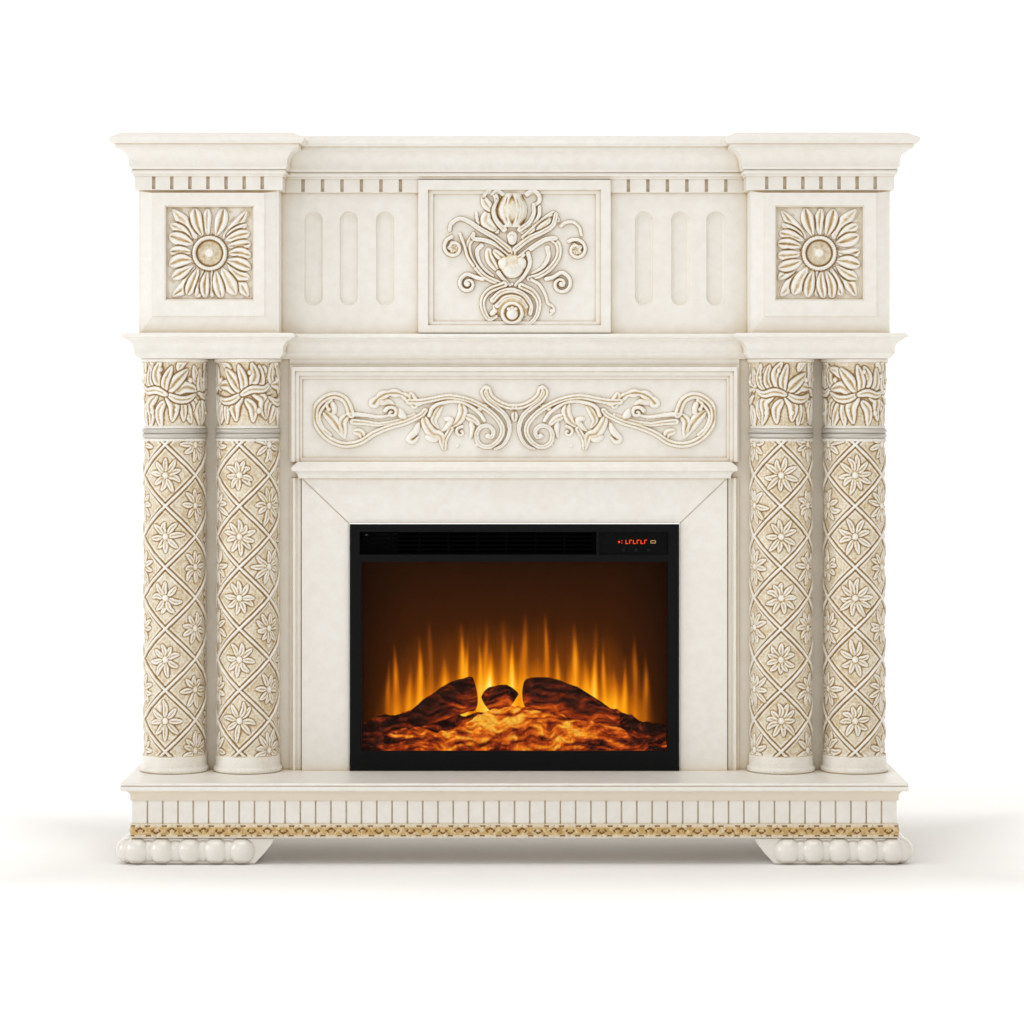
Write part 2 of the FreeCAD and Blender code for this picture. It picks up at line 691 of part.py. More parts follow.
def brackets():
    """Two angle brackets under the shelf's back edge, to tie the mantel to a wall."""
    sheet = 2.5
    both = []
    for side in (-1, 1):
        x = side * 350
        upright_leg = box(x - 30, x + 30, 0, sheet, SHELF_BOTTOM - 45, SHELF_BOTTOM)
        flat_leg = box(x - 30, x + 30, sheet, 40, SHELF_BOTTOM - sheet, SHELF_BOTTOM)
        angle = upright_leg.fuse(flat_leg)
        for dx in (-15, 15):
            angle = angle.cut(rod_y(x + dx, SHELF_BOTTOM - 25, 0, sheet, 2.75))
        for hole in bracket_holes(side):
            angle = angle.cut(rod_z(hole[0], hole[1], SHELF_BOTTOM - sheet, SHELF_BOTTOM, SCREW_R + 0.2))
        both.append(angle.removeSplitter())
    save(Part.makeCompound(both), "wall_brackets")


def upper():
    frieze()
    block = upper_block()
    save(block, "upper_block_left")
    save(mirrored(block), "upper_block_right")
    flower = rosette()
    save(flower, "rosette_left")
    save(mirrored(flower), "rosette_right")
    dentils()
    crown()
    brackets()


# ---- insert ----------------------------------------------------------------------------
REAR_SCREWS = [(side * (SHELL_HALF - 8), z) for side in (-1, 1) for z in (160, 354, 548)]


def insert_case():
    """Steel tube with a deck between the fire and the heater, and a flanged back."""
    shell = box(-SHELL_HALF, SHELL_HALF, SHELL_BACK, FRAME_BACK, SHELL_BOTTOM, SHELL_TOP)
    inner = SHELL_HALF - SHEET
    shell = shell.cut(box(-inner, inner, SHELL_BACK + SHEET, FRAME_BACK, SHELL_BOTTOM + SHEET,
                          SHELL_TOP - SHEET))
    window = SHELL_HALF - 16
    shell = shell.cut(box(-window, window, SHELL_BACK, SHELL_BACK + SHEET, SHELL_BOTTOM + 14, SHELL_TOP - 14))
    shell = shell.fuse(box(-inner, inner, SHELL_BACK + SHEET, 176, DECK_Z, DECK_Z + SHEET))
    bearing = box(-252, -250, SPINNER_DEPTH - 12, SPINNER_DEPTH + 12, SHELL_BOTTOM + SHEET, SPINNER_Z + 12)
    bearing = bearing.cut(rod_x(-252, -250, SPINNER_DEPTH, SPINNER_Z, SHAFT_PIN_R + RUNNING_GAP))
    shell = shell.fuse(bearing)
    for x, z in REAR_SCREWS:
        shell = shell.cut(rod_y(x, z, SHELL_BACK, SHELL_BACK + SHEET, SCREW_R + 0.05))
    save(shell.removeSplitter(), "insert_shell")


def screw(place, direction):
    """Pan-head screw whose head's underside sits at place."""
    head = Part.makeCylinder(SCREW_HEAD_R, SCREW_HEAD_H, place - direction * SCREW_HEAD_H, direction)
    head = head.makeFillet(1.0, [e for e in head.Edges
                                 if e.Length > 1 and abs((e.CenterOfMass - place).dot(direction)) > SCREW_HEAD_H - 0.01])
    return head.fuse(Part.makeCylinder(SCREW_R, 12, place, direction)).removeSplitter()


def screws():
    group = []
    for x, z in REAR_SCREWS:
        group.append(screw(Vector(x, y_at(SHELL_BACK - SHEET), z), Vector(0, -1, 0)))
    for side in (-1, 1):
        for x, depth in bracket_holes(side):
            group.append(screw(Vector(x, y_at(depth), SHELF_BOTTOM - 2.5), Vector(0, 0, 1)))
    save(Part.makeCompound(group), "screws")


def rear_cover():
    """Back of the insert: air slots, the rocker's opening with its two ears, the gland's hole."""
    cover = box(-SHELL_HALF, SHELL_HALF, SHELL_BACK - SHEET, SHELL_BACK, SHELL_BOTTOM, SHELL_TOP)
    slots = []
    for row in range(3):
        for i in range(16):
            x = -165 + i * 18
            slots.append(box(x, x + 5, SHELL_BACK - SHEET, SHELL_BACK, 524 + row * 12, 532 + row * 12))
    cover = cover.cut(Part.makeCompound(slots))
    for x, z in REAR_SCREWS:
        cover = cover.cut(rod_y(x, z, SHELL_BACK - SHEET, SHELL_BACK, SCREW_R + 0.2))
    cover = cover.cut(box(ROCKER_X - 10.5, ROCKER_X + 10.5, SHELL_BACK - SHEET, SHELL_BACK,
                          ROCKER_Z - 8.5, ROCKER_Z + 8.5))
    cover = cover.cut(rod_y(GLAND_X, ROCKER_Z, SHELL_BACK - SHEET, SHELL_BACK, 6.0))
    for side in (-1, 1):
        x = ROCKER_X + side * 11.5
        ear = box(x - 1, x + 1, SHELL_BACK, ROCKER_DEPTH + 4, ROCKER_Z - 5, ROCKER_Z + 5)
        ear = ear.cut(rod_x(x - 1, x + 1, ROCKER_DEPTH, ROCKER_Z, 1.5 + RUNNING_GAP))
        cover = cover.fuse(ear)
    save(cover.removeSplitter(), "rear_cover")


def rocker():
    """Mains rocker, tipped to its on side, with its pin in the cover's ears."""
    front = ROCKER_DEPTH - 9
    outline = [(front, -6), (front + 2, 0), (front, 6), (ROCKER_DEPTH + 2, 5), (ROCKER_DEPTH + 2, -5)]
    points = [Vector(ROCKER_X - 9.5, y_at(depth), ROCKER_Z + z) for depth, z in outline]
    cap = Part.Face(Part.makePolygon(points + [points[0]])).extrude(Vector(19, 0, 0))
    cap = cap.fuse(rod_x(ROCKER_X - 12.4, ROCKER_X + 12.4, ROCKER_DEPTH, ROCKER_Z, 1.5))
    pivot = Vector(ROCKER_X, y_at(ROCKER_DEPTH), ROCKER_Z)
    save(cap.rotate(pivot, Vector(1, 0, 0), ROCKER_TILT).removeSplitter(), "rocker_switch")


def gland():
    """Cable gland through the back cover, with a clear bore for a cable."""
    shank = rod_y(GLAND_X, ROCKER_Z, SHELL_BACK - SHEET - 3, SHELL_BACK + 12, 5.9)
    nut = rod_y(GLAND_X, ROCKER_Z, SHELL_BACK, SHELL_BACK + 4, 9)
    dome = rod_y(GLAND_X, ROCKER_Z, SHELL_BACK - SHEET - 12, SHELL_BACK - SHEET, 8.5)
    dome = dome.makeFillet(2.0, [e for e in dome.Edges if e.BoundBox.YMin > y_at(SHELL_BACK - SHEET - 12) - 0.01])
    bore = rod_y(GLAND_X, ROCKER_Z, SHELL_BACK - SHEET - 12, SHELL_BACK + 12, GLAND_BORE_R)
    save(shank.fuse([nut, dome]).cut(bore).removeSplitter(), "cable_gland")


def face():
    """Black front frame with its three windows, the glass, the vent's grille and the controls."""
    frame = box(-FRAME_HALF, FRAME_HALF, FRAME_BACK, FRAME_FRONT, SLAB_TOP, FRAME_TOP)
    frame = frame.makeFillet(2.0, [e for e in frame.Edges if e.BoundBox.YMax < y_at(FRAME_FRONT) + 0.01])
    for x0, x1, z0, z1 in ((-GLASS_HALF, GLASS_HALF, GLASS_BOTTOM, GLASS_TOP),
                           (VENT_LEFT, VENT_RIGHT, VENT_BOTTOM, VENT_TOP),
                           (VENT_RIGHT + 4, CONTROL_RIGHT, VENT_BOTTOM, VENT_TOP)):
        frame = frame.cut(box(x0, x1, FRAME_BACK, FRAME_FRONT, z0, z1))
    save(frame, "insert_face_frame")
    save(box(-272, 272, 182, FRAME_BACK, GLASS_BOTTOM - 3, DECK_Z - 1), "glass_pane")

    grille = box(VENT_LEFT, VENT_RIGHT, 180, 184, DECK_Z + SHEET, SHELL_TOP - SHEET)
    gaps = []
    for row in range(5):
        z = VENT_BOTTOM + 3 + row * 7.5
        for i in range(8):
            x = VENT_LEFT + 5 + i * 51
            gaps.append(box(x, x + 47, 180, 184, z, z + 4.5))
    save(grille.cut(Part.makeCompound(gaps)), "outlet_grille")


def controls():
    """Dark window with three push buttons, and the circuit board behind it."""
    left = VENT_RIGHT + 1
    right = SHELL_HALF - SHEET
    panel = box(left, right, 182, FRAME_BACK, DECK_Z + SHEET, SHELL_TOP - SHEET)
    for x in (left + 8, right - 8):
        panel = panel.fuse(rod_y(x, 552, 174, 182, 2.5))
    for x in BUTTON_X:
        panel = panel.cut(rod_y(x, BUTTON_Z, 182, FRAME_BACK, BUTTON_R + 0.25))
    save(panel.removeSplitter(), "control_panel")
    board = box(left + 2, right - 2, 172.4, 174, DECK_Z + 8, SHELL_TOP - 6)
    for x, name in zip(BUTTON_X, BUTTON_NAMES):
        board = board.fuse(box(x - 3, x + 3, 174, 176.5, BUTTON_Z - 3, BUTTON_Z + 3))
        cap = rod_y(x, BUTTON_Z, 179.5, 188, BUTTON_R)
        cap = cap.makeFillet(0.8, [e for e in cap.Edges if e.BoundBox.YMax < y_at(188) + 0.01])
        save(cap.fuse(rod_y(x, BUTTON_Z, 178, 181.5, BUTTON_R + 1.5)).removeSplitter(), name)
    save(board.removeSplitter(), "control_board")


def fire():
    """Flame screen, log and ember bed, lamp board, and the turning reflector rod."""
    half = SHELL_HALF - SHEET - 1
    floor = SHELL_BOTTOM + SHEET
    screen_depth = 112.0
    save(box(-half, half, screen_depth, screen_depth + 3, floor, DECK_Z), "flame_screen")

    profile = section((screen_depth + 4, floor), (178, floor), (178, 184), (160, 204), (screen_depth + 4, 214))
    profile = profile.transformGeometry(FreeCAD.Matrix(0, 0, 1, -half + 4, -1, 0, 0, DEPTH / 2,
                                                       0, 1, 0, 0, 0, 0, 0, 1))
    bed = profile.extrude(Vector(2 * half - 8, 0, 0))
    for start, end, radius in (((-262, 148, 196), (-66, 142, 266), 30),
                               ((16, 142, 268), (256, 150, 200), 30),
                               ((-40, 150, 250), (-6, 142, 268), 20)):
        a = Vector(start[0], y_at(start[1]), start[2])
        b = Vector(end[0], y_at(end[1]), end[2])
        bed = bed.fuse(Part.makeCylinder(radius, (b - a).Length, a, b - a))
    keep = box(-half + 4, half - 4, screen_depth + 4, 180, floor, DECK_Z)
    save(bed.common(keep).Solids[0].removeSplitter(), "log_ember_bed")

    lamps = box(-240, 200, 92, 106, floor + 6, floor + 7.6)
    for i in range(12):
        lamps = lamps.fuse(box(-230 + i * 37, -224 + i * 37, 96, 102, floor + 7.6, floor + 9.6))
    for x in (-230, -20, 190):
        lamps = lamps.fuse(rod_z(x, 99, floor, floor + 6, 3))
    save(lamps.removeSplitter(), "led_board")

    motor_x = 205.0
    rod = rod_x(-256, motor_x + 10, SPINNER_DEPTH, SPINNER_Z, SHAFT_PIN_R)
    for i in range(15):
        vane = box(-238 + i * 29, -218 + i * 29, SPINNER_DEPTH - 16, SPINNER_DEPTH + 16,
                   SPINNER_Z - 0.5, SPINNER_Z + 0.5)
        rod = rod.fuse(vane.rotate(Vector(0, y_at(SPINNER_DEPTH), SPINNER_Z), Vector(1, 0, 0), 51 * i))
    save(rod.removeSplitter(), "flame_spinner")
    save(motor(motor_x, 22, 24, SPINNER_DEPTH, SPINNER_Z, SHELL_HALF - SHEET, floor), "spinner_motor")


def motor(x, length, radius, depth, z, wall_x, floor):
    """Round motor with a blind socket for its shaft and a foot down to the sheet below."""
    body_shape = rod_x(x, x + length, depth, z, radius)
    body_shape = body_shape.fuse(box(x + 4, x + length - 4, depth - 8, depth + 8, floor, z))
    socket = rod_x(x, x + 12, depth, z, SHAFT_PIN_R + RUNNING_GAP)
    return body_shape.cut(socket).removeSplitter()


def heater():
    """Warm-air heater on the deck: duct, fan wheel, its motor and the heating element."""
    left = -206.0
    right = 106.0
    wall = 1.5
    floor = DECK_Z + SHEET
    roof = SHELL_TOP - SHEET
    duct = box(left, right, 42, 178, floor, roof)
    duct = duct.cut(box(left + wall, right - wall, 42, 178, floor + wall, roof - wall))
    for x in (left, right - wall):
        duct = duct.cut(rod_x(x, x + wall, FAN_DEPTH, FAN_Z, SHAFT_PIN_R + RUNNING_GAP))
    save(duct, "heater_case")

    wheel = rod_x(left - 3, right + 8, FAN_DEPTH, FAN_Z, SHAFT_PIN_R)
    disc_xs = (-200, -100, 0, 97)
    for x in disc_xs:
        wheel = wheel.fuse(rod_x(x, x + 2, FAN_DEPTH, FAN_Z, FAN_R))
    blades = 20
    for i in range(blades):
        blade = box(disc_xs[0], disc_xs[-1] + 2, FAN_DEPTH - 0.5, FAN_DEPTH + 0.5, FAN_Z + 13, FAN_Z + FAN_R - 0.2)
        pivot = Vector(0, y_at(FAN_DEPTH), FAN_Z)
        blade.rotate(Vector(0, y_at(FAN_DEPTH), FAN_Z + 16), Vector(1, 0, 0), 30)
        wheel = wheel.fuse(blade.rotate(pivot, Vector(1, 0, 0), 360 / blades * i))
    save(wheel.removeSplitter(), "fan_wheel")
    save(motor(right + 1, 30, 18, FAN_DEPTH, FAN_Z, SHELL_HALF - SHEET, floor), "fan_motor")

    posts = [box(x, x + 3, 120, 150, floor + wall, roof - wall) for x in (left + wall, right - wall - 3)]
    element = posts[0].fuse(posts[1])
    for row in range(4):
        z = floor + 9 + row * 10
        for depth in (128, 142):
            element = element.fuse(rod_x(left + wall + 1, right - wall - 1, depth, z, 1.6))
    save(element.removeSplitter(), "heating_element")


def insert():
    insert_case()
    screws()
    rear_cover()
    rocker()
    gland()
    face()
    controls()
    fire()
    heater()


plinth()
body()
mid_cornice()
upper()
insert()
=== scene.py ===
import json
import math

import bpy
import numpy as np
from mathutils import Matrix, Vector


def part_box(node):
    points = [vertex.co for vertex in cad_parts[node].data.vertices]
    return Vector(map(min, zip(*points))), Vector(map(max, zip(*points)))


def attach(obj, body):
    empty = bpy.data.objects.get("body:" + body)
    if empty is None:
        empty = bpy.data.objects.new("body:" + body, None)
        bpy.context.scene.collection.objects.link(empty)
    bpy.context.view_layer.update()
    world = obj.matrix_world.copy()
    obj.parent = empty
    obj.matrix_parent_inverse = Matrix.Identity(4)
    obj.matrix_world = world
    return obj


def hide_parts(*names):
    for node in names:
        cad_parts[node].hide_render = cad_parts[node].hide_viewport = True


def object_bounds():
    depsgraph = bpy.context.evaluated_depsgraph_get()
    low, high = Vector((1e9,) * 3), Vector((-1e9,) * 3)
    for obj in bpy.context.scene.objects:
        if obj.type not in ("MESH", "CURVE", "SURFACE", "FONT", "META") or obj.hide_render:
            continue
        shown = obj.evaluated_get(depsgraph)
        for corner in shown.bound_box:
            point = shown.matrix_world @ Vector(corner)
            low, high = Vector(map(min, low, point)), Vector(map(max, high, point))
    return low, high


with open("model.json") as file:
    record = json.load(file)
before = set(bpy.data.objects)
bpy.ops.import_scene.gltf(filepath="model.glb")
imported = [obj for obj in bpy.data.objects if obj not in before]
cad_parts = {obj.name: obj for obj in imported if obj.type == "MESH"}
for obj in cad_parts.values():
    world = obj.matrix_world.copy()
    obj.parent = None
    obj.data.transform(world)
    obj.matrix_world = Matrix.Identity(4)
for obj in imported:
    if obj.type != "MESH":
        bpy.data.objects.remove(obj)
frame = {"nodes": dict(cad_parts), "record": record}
cad_low, cad_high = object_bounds()

MM = 0.001

# ---- camera, lights and floor ----------------------------------------------------------
EYE_HEIGHT = 0.792
EYE_DISTANCE = 5.10
LENS = 105.5
SHIFT_X = -0.0024
SHIFT_Y = -0.109


def make_camera():
    """Level camera in front of the middle, with a lens shift that keeps uprights parallel."""
    data = bpy.data.cameras.new("camera")
    data.lens = LENS
    data.sensor_width = 36.0
    data.shift_x = SHIFT_X
    data.shift_y = SHIFT_Y
    camera = bpy.data.objects.new("camera", data)
    camera.location = (0, cad_low.y - EYE_DISTANCE, EYE_HEIGHT)
    camera.rotation_euler = (math.radians(90), 0, 0)
    bpy.context.scene.collection.objects.link(camera)
    bpy.context.scene.camera = camera


def area_light(name, place, target, size, power, colour=(1, 1, 1)):
    data = bpy.data.lights.new(name, "AREA")
    data.shape = "RECTANGLE"
    data.size, data.size_y = size
    data.energy = power
    data.color = colour
    light = bpy.data.objects.new(name, data)
    light.location = place
    aim = Vector(target) - Vector(place)
    light.rotation_euler = aim.to_track_quat("-Z", "Y").to_euler()
    bpy.context.scene.collection.objects.link(light)


def make_lights():
    bpy.context.scene.view_settings.view_transform = "Standard"
    world = bpy.data.worlds.new("studio")
    bpy.context.scene.world = world
    world.use_nodes = True
    background = world.node_tree.nodes["Background"]
    background.inputs["Color"].default_value = (1.0, 0.95, 0.875, 1)
    background.inputs["Strength"].default_value = 0.57
    middle = (0, 0, 0.6)
    area_light("key", (-2.9, -4.0, 2.2), middle, (2.6, 2.4), 26, (0.94, 0.97, 1.0))
    area_light("side", (-5.0, -1.6, 1.8), middle, (1.5, 2.0), 49, (0.98, 0.99, 1.0))
    area_light("fill", (2.6, -4.2, 0.9), middle, (2.4, 2.4), 10, (1.0, 0.97, 0.92))
    area_light("top", (0, -1.2, 4.2), (0, -0.6, 0), (3.4, 1.6), 44)


def make_floor():
    """Pale sweep: a floor that curves up into a backdrop far behind the object."""
    half, back, bend, top, front = 14.0, 7.0, 3.0, 12.0, -11.0
    profile = [(front, 0.0), (back, 0.0)]
    steps = 12
    for i in range(1, steps + 1):
        angle = math.pi / 2 * i / steps
        profile.append((back + bend * math.sin(angle), bend * (1 - math.cos(angle))))
    profile.append((back + bend, top))
    points = [(x, y, z) for y, z in profile for x in (-half, half)]
    faces = [(2 * i, 2 * i + 1, 2 * i + 3, 2 * i + 2) for i in range(len(profile) - 1)]
    mesh = bpy.data.meshes.new("floor")
    mesh.from_pydata(points, [], faces)
    mesh.shade_smooth()
    floor = bpy.data.objects.new("floor", mesh)
    bpy.context.scene.collection.objects.link(floor)
    build = Nodes("floor_paper")
    noise = build.noise(scale=3.0, detail=2.0)
    build.link(build.ramp(noise, ((0.3, (0.93, 0.93, 0.93)), (0.7, (0.95, 0.95, 0.95)))), "Base Color")
    build.set("Roughness", 0.9)
    place = build.axes()
    beside = build.math("SUBTRACT", build.math("ABSOLUTE", place["X"]), cad_high.x)
    before = build.math("SUBTRACT", build.math("ABSOLUTE", place["Y"]), cad_high.y)
    away = build.math("MAXIMUM", build.math("MAXIMUM", beside, before), 0.0)
    # Painted light: the floor glows more the further it lies from the object, which washes out the cast
    # shadows beside it and keeps the floor under it darker.
    near_glow = build.remap(away, 0.01, 0.40, 0.0, 0.26)
    far_glow = build.remap(place["Y"], 0.6, 3.0, 0.0, 0.30)
    build.link(build.math("ADD", near_glow, far_glow), "Emission Strength")
    build.set("Emission Color", (1, 1, 1, 1))
    mesh.materials.append(build.material)


# ---- material building -----------------------------------------------------------------
class Nodes:
    """A material with one Principled shader, and short calls for the nodes that feed it."""

    def __init__(self, name):
        self.material = bpy.data.materials.new(name)
        self.material.use_nodes = True
        self.tree = self.material.node_tree
        self.shader = self.tree.nodes["Principled BSDF"]
        self.coords = self.tree.nodes.new("ShaderNodeTexCoord").outputs["Object"]

    def set(self, socket, value):
        self.shader.inputs[socket].default_value = value

    def link(self, output, socket):
        self.tree.links.new(output, self.shader.inputs[socket])

    def feed(self, node, socket, value):
        if isinstance(value, bpy.types.NodeSocket):
            self.tree.links.new(value, node.inputs[socket])
        elif isinstance(value, tuple) and len(value) == 3 and node.inputs[socket].type == "RGBA":
            node.inputs[socket].default_value = (*value, 1)
        else:
            node.inputs[socket].default_value = value

    def stretched(self, scale):
        mapping = self.tree.nodes.new("ShaderNodeMapping")
        mapping.inputs["Scale"].default_value = scale
        self.tree.links.new(self.coords, mapping.inputs["Vector"])
        return mapping.outputs["Vector"]

    def noise(self, scale, detail=4.0, rough=0.55, vector=None):
        node = self.tree.nodes.new("ShaderNodeTexNoise")
        self.tree.links.new(vector or self.coords, node.inputs["Vector"])
        node.inputs["Scale"].default_value = scale
        node.inputs["Detail"].default_value = detail
        node.inputs["Roughness"].default_value = rough
        return node.outputs["Fac"]

    def attribute(self, name, colour=False):
        node = self.tree.nodes.new("ShaderNodeAttribute")
        node.attribute_name = name
        return node.outputs["Color" if colour else "Fac"]

    def axes(self):
        """The object's X, Y and Z coordinates as separate outputs."""
        split = self.tree.nodes.new("ShaderNodeSeparateXYZ")
        self.tree.links.new(self.coords, split.inputs[0])
        return split.outputs

    def crevice_shade(self, distance, samples=6):
        """Painted shade: 0 in the open and towards 1 in corners and grooves, where shade falls."""
        node = self.tree.nodes.new("ShaderNodeAmbientOcclusion")
        node.samples = samples
        node.inputs["Distance"].default_value = distance
        return self.math("SUBTRACT", 1.0, node.outputs["AO"])

    def math(self, operation, a, b=0.0, clamp=False):
        node = self.tree.nodes.new("ShaderNodeMath")
        node.operation = operation
        node.use_clamp = clamp
        self.feed(node, 0, a)
        self.feed(node, 1, b)
        return node.outputs[0]

    def remap(self, value, low, high, out_low=0.0, out_high=1.0):
        node = self.tree.nodes.new("ShaderNodeMapRange")
        node.interpolation_type = "SMOOTHSTEP"
        self.feed(node, "Value", value)
        limits = {"From Min": low, "From Max": high, "To Min": out_low, "To Max": out_high}
        for socket, number in limits.items():
            node.inputs[socket].default_value = number
        return node.outputs["Result"]

    def ramp(self, value, stops):
        node = self.tree.nodes.new("ShaderNodeValToRGB")
        self.tree.links.new(value, node.inputs["Fac"])
        elements = node.color_ramp.elements
        while len(elements) < len(stops):
            elements.new(0.5)
        for element, (place, colour) in zip(elements, stops):
            element.position = place
            element.color = (*colour, 1)
        return node.outputs["Color"]

    def mix(self, factor, a, b):
        node = self.tree.nodes.new("ShaderNodeMix")
        node.data_type = "RGBA"
        self.feed(node, 0, factor)
        self.feed(node, 6, a)
        self.feed(node, 7, b)
        return node.outputs[2]

    def bump(self, height, strength, distance):
        node = self.tree.nodes.new("ShaderNodeBump")
        node.inputs["Strength"].default_value = strength
        node.inputs["Distance"].default_value = distance
        self.tree.links.new(height, node.inputs["Height"])
        self.link(node.outputs["Normal"], "Normal")


CREAM = (0.83, 0.805, 0.76)
CREAM_LIGHT = (0.88, 0.863, 0.825)
OCHRE = (0.42, 0.27, 0.12)
HONEY = (0.50, 0.35, 0.17)


def painted_wood(name="painted_wood", shade_base=0.0, glaze_line_and_shade_strength=0.75):
    """Brushed antique-white paint, with painted shade and ochre glaze in the corners and grooves."""
    build = Nodes(name)
    brush = build.noise(60, 5, 0.6)
    blotch = build.noise(5.5, 3, 0.5)
    paint = build.ramp(brush, ((0.30, CREAM), (0.62, CREAM_LIGHT)))
    paint = build.mix(build.remap(blotch, 0.45, 0.75, 0.0, 0.35), paint, (0.80, 0.765, 0.70))
    wear = build.noise(42, 3, 0.6)
    # Painted shade: a wide tan in corners, recesses and under ledges, from ambient occlusion; shade_base lays
    # some of it over the whole piece.
    wide_shade = build.crevice_shade(0.040)
    paint = build.mix(build.remap(wide_shade, 0.18, 0.70, shade_base, min(1.0, shade_base + 0.62)), paint, (0.74, 0.64, 0.48))
    # Glaze and painted shade: a thin honey line in the tightest corners and grooves, broken up by the wear
    # noise.
    thin_glaze_and_shade = build.crevice_shade(0.008)
    line = build.math("MULTIPLY", build.remap(thin_glaze_and_shade, 0.22, 0.62, 0.0, glaze_line_and_shade_strength),
                      build.remap(wear, 0.25, 0.7, 0.6, 1.0))
    build.link(build.mix(line, paint, HONEY), "Base Color")
    build.link(build.remap(brush, 0.3, 0.7, 0.36, 0.50), "Roughness")
    build.set("Coat Weight", 0.12)
    build.set("Coat Roughness", 0.3)
    build.bump(brush, 0.12, 0.0006)
    return build.material


def carved_resin(name="carved_resin", shade_offset=0.0):
    """Cast ornament in the same paint: ochre glaze wiped into every hollow along with painted shade, and a
    white painted highlight on the crests.
    """
    build = Nodes(name)
    grain = build.noise(300, 4, 0.6)
    wash = build.noise(34, 3, 0.55)
    uneven = build.math("ADD", build.remap(grain, 0.3, 0.7, -0.07, 0.07),
                        build.remap(wash, 0.3, 0.7, -0.07, 0.07))
    # depth runs from a white painted highlight on the crests to glaze and painted shade in the hollows;
    # shade_offset pushes the whole piece darker.
    depth = build.math("ADD", build.attribute("cavity"), build.math("ADD", uneven, shade_offset))
    paint = build.ramp(depth, ((0.08, (0.90, 0.885, 0.845)), (0.26, (0.84, 0.81, 0.745)),
                               (0.42, (0.74, 0.665, 0.52)), (0.58, (0.60, 0.46, 0.27)),
                               (0.78, (0.45, 0.30, 0.135)), (1.0, (0.28, 0.16, 0.06))))
    # Painted shade: ochre in the tightest corners, from ambient occlusion.
    corner = build.crevice_shade(0.006)
    build.link(build.mix(build.remap(corner, 0.40, 0.85, 0.0, 0.30), paint, OCHRE), "Base Color")
    build.link(build.remap(depth, 0.2, 0.8, 0.34, 0.62), "Roughness")
    build.set("Coat Weight", 0.12)
    build.set("Coat Roughness", 0.3)
    build.bump(grain, 0.10, 0.0004)
    return build.material


def gilt_paint():
    build = Nodes("gilt_paint")
    cavity = build.attribute("cavity")
    worn = build.noise(95, 4, 0.6)
    gold = build.ramp(worn, ((0.30, (0.40, 0.235, 0.075)), (0.50, (0.62, 0.42, 0.17)),
                             (0.70, (0.80, 0.70, 0.50))))
    # Wear and painted highlight: the top and bottom edges of the band turn cream.
    place = build.axes()
    low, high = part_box("gilt_trim")
    from_middle = build.math("ABSOLUTE", build.math("SUBTRACT", place["Z"], (low.z + high.z) / 2))
    rubbed_and_highlit = build.mix(build.remap(from_middle, 0.0045, 0.0095, 0.0, 0.85), gold, (0.82, 0.75, 0.62))
    # Glaze and painted shade: dark brown in the hollows, from the cavity attribute.
    hollow_glaze_and_shade = build.remap(cavity, 0.40, 0.75, 0.0, 0.95)
    build.link(build.mix(hollow_glaze_and_shade, rubbed_and_highlit, (0.24, 0.12, 0.035)), "Base Color")
    build.set("Metallic", 0.2)
    build.link(build.remap(worn, 0.3, 0.7, 0.34, 0.55), "Roughness")
    return build.material


def silver_paint():
    build = Nodes("silver_paint")
    streak = build.noise(30, 4, 0.6, build.stretched((0.4, 0.4, 14)))
    build.link(build.ramp(streak, ((0.3, (0.47, 0.445, 0.40)), (0.7, (0.66, 0.64, 0.59)))), "Base Color")
    build.set("Metallic", 0.25)
    build.set("Roughness", 0.42)
    build.bump(streak, 0.1, 0.0004)
    return build.material


def gloss_enamel():
    build = Nodes("gloss_enamel")
    cloud = build.noise(16, 3, 0.5)
    # Painted shade: brown in the corners and between the balls, from ambient occlusion.
    corner = build.crevice_shade(0.016)
    paint = build.ramp(cloud, ((0.3, (0.80, 0.775, 0.72)), (0.7, (0.86, 0.84, 0.80))))
    build.link(build.mix(build.remap(corner, 0.35, 0.9, 0.0, 0.55), paint, (0.48, 0.37, 0.24)), "Base Color")
    build.set("Roughness", 0.24)
    build.set("Coat Weight", 0.7)
    build.set("Coat Roughness", 0.08)
    build.bump(build.noise(9, 2, 0.5), 0.10, 0.002)
    return build.material


def plain(name, dark, light, scale, roughness, metallic=0.0, stretch=(1, 1, 1), bump=0.08, shine=0.5):
    """A simple finish with fine variation: two tones of one colour, and a slight surface grain."""
    build = Nodes(name)
    grain = build.noise(scale, 4, 0.6, build.stretched(stretch))
    build.link(build.ramp(grain, ((0.3, dark), (0.7, light))), "Base Color")
    build.link(build.remap(grain, 0.3, 0.7, roughness - 0.05, roughness + 0.06), "Roughness")
    build.set("Metallic", metallic)
    build.set("Specular IOR Level", shine)
    build.bump(grain, bump, 0.0005)
    return build.material


def clear_glass():
    build = Nodes("clear_glass")
    smear = build.noise(7, 3, 0.5)
    build.link(build.ramp(smear, ((0.3, (0.95, 0.96, 0.96)), (0.7, (0.98, 0.98, 0.98)))), "Base Color")
    build.link(build.remap(smear, 0.3, 0.8, 0.0, 0.04), "Roughness")
    build.set("Transmission Weight", 1.0)
    build.set("IOR", 1.12)
    build.set("Alpha", 0.25)
    return build.material


def glow(name, strength, roughness=0.6, dim=0.25):
    """A part lit from within: its colours come from the piece's own painted attribute."""
    build = Nodes(name)
    colour = build.attribute("glow", colour=True)
    grain = build.noise(160, 3, 0.6)
    lit = build.mix(build.remap(grain, 0.3, 0.7, 0.0, dim), colour, (0.0, 0.0, 0.0))
    build.link(lit, "Emission Color")
    build.set("Emission Strength", strength)
    build.link(build.mix(0.94, colour, (0.006, 0.004, 0.003)), "Base Color")
    build.set("Roughness", roughness)
    build.set("Specular IOR Level", 0.0)
    return build.material


# ---- carved relief ---------------------------------------------------------------------
LEAF = 0.75
LOBE_DEPTH = 0.22
CHANNEL_WIDTH = 1.8
DEEPEST_CUT = -0.8
SKIRT_FALL = 1.4


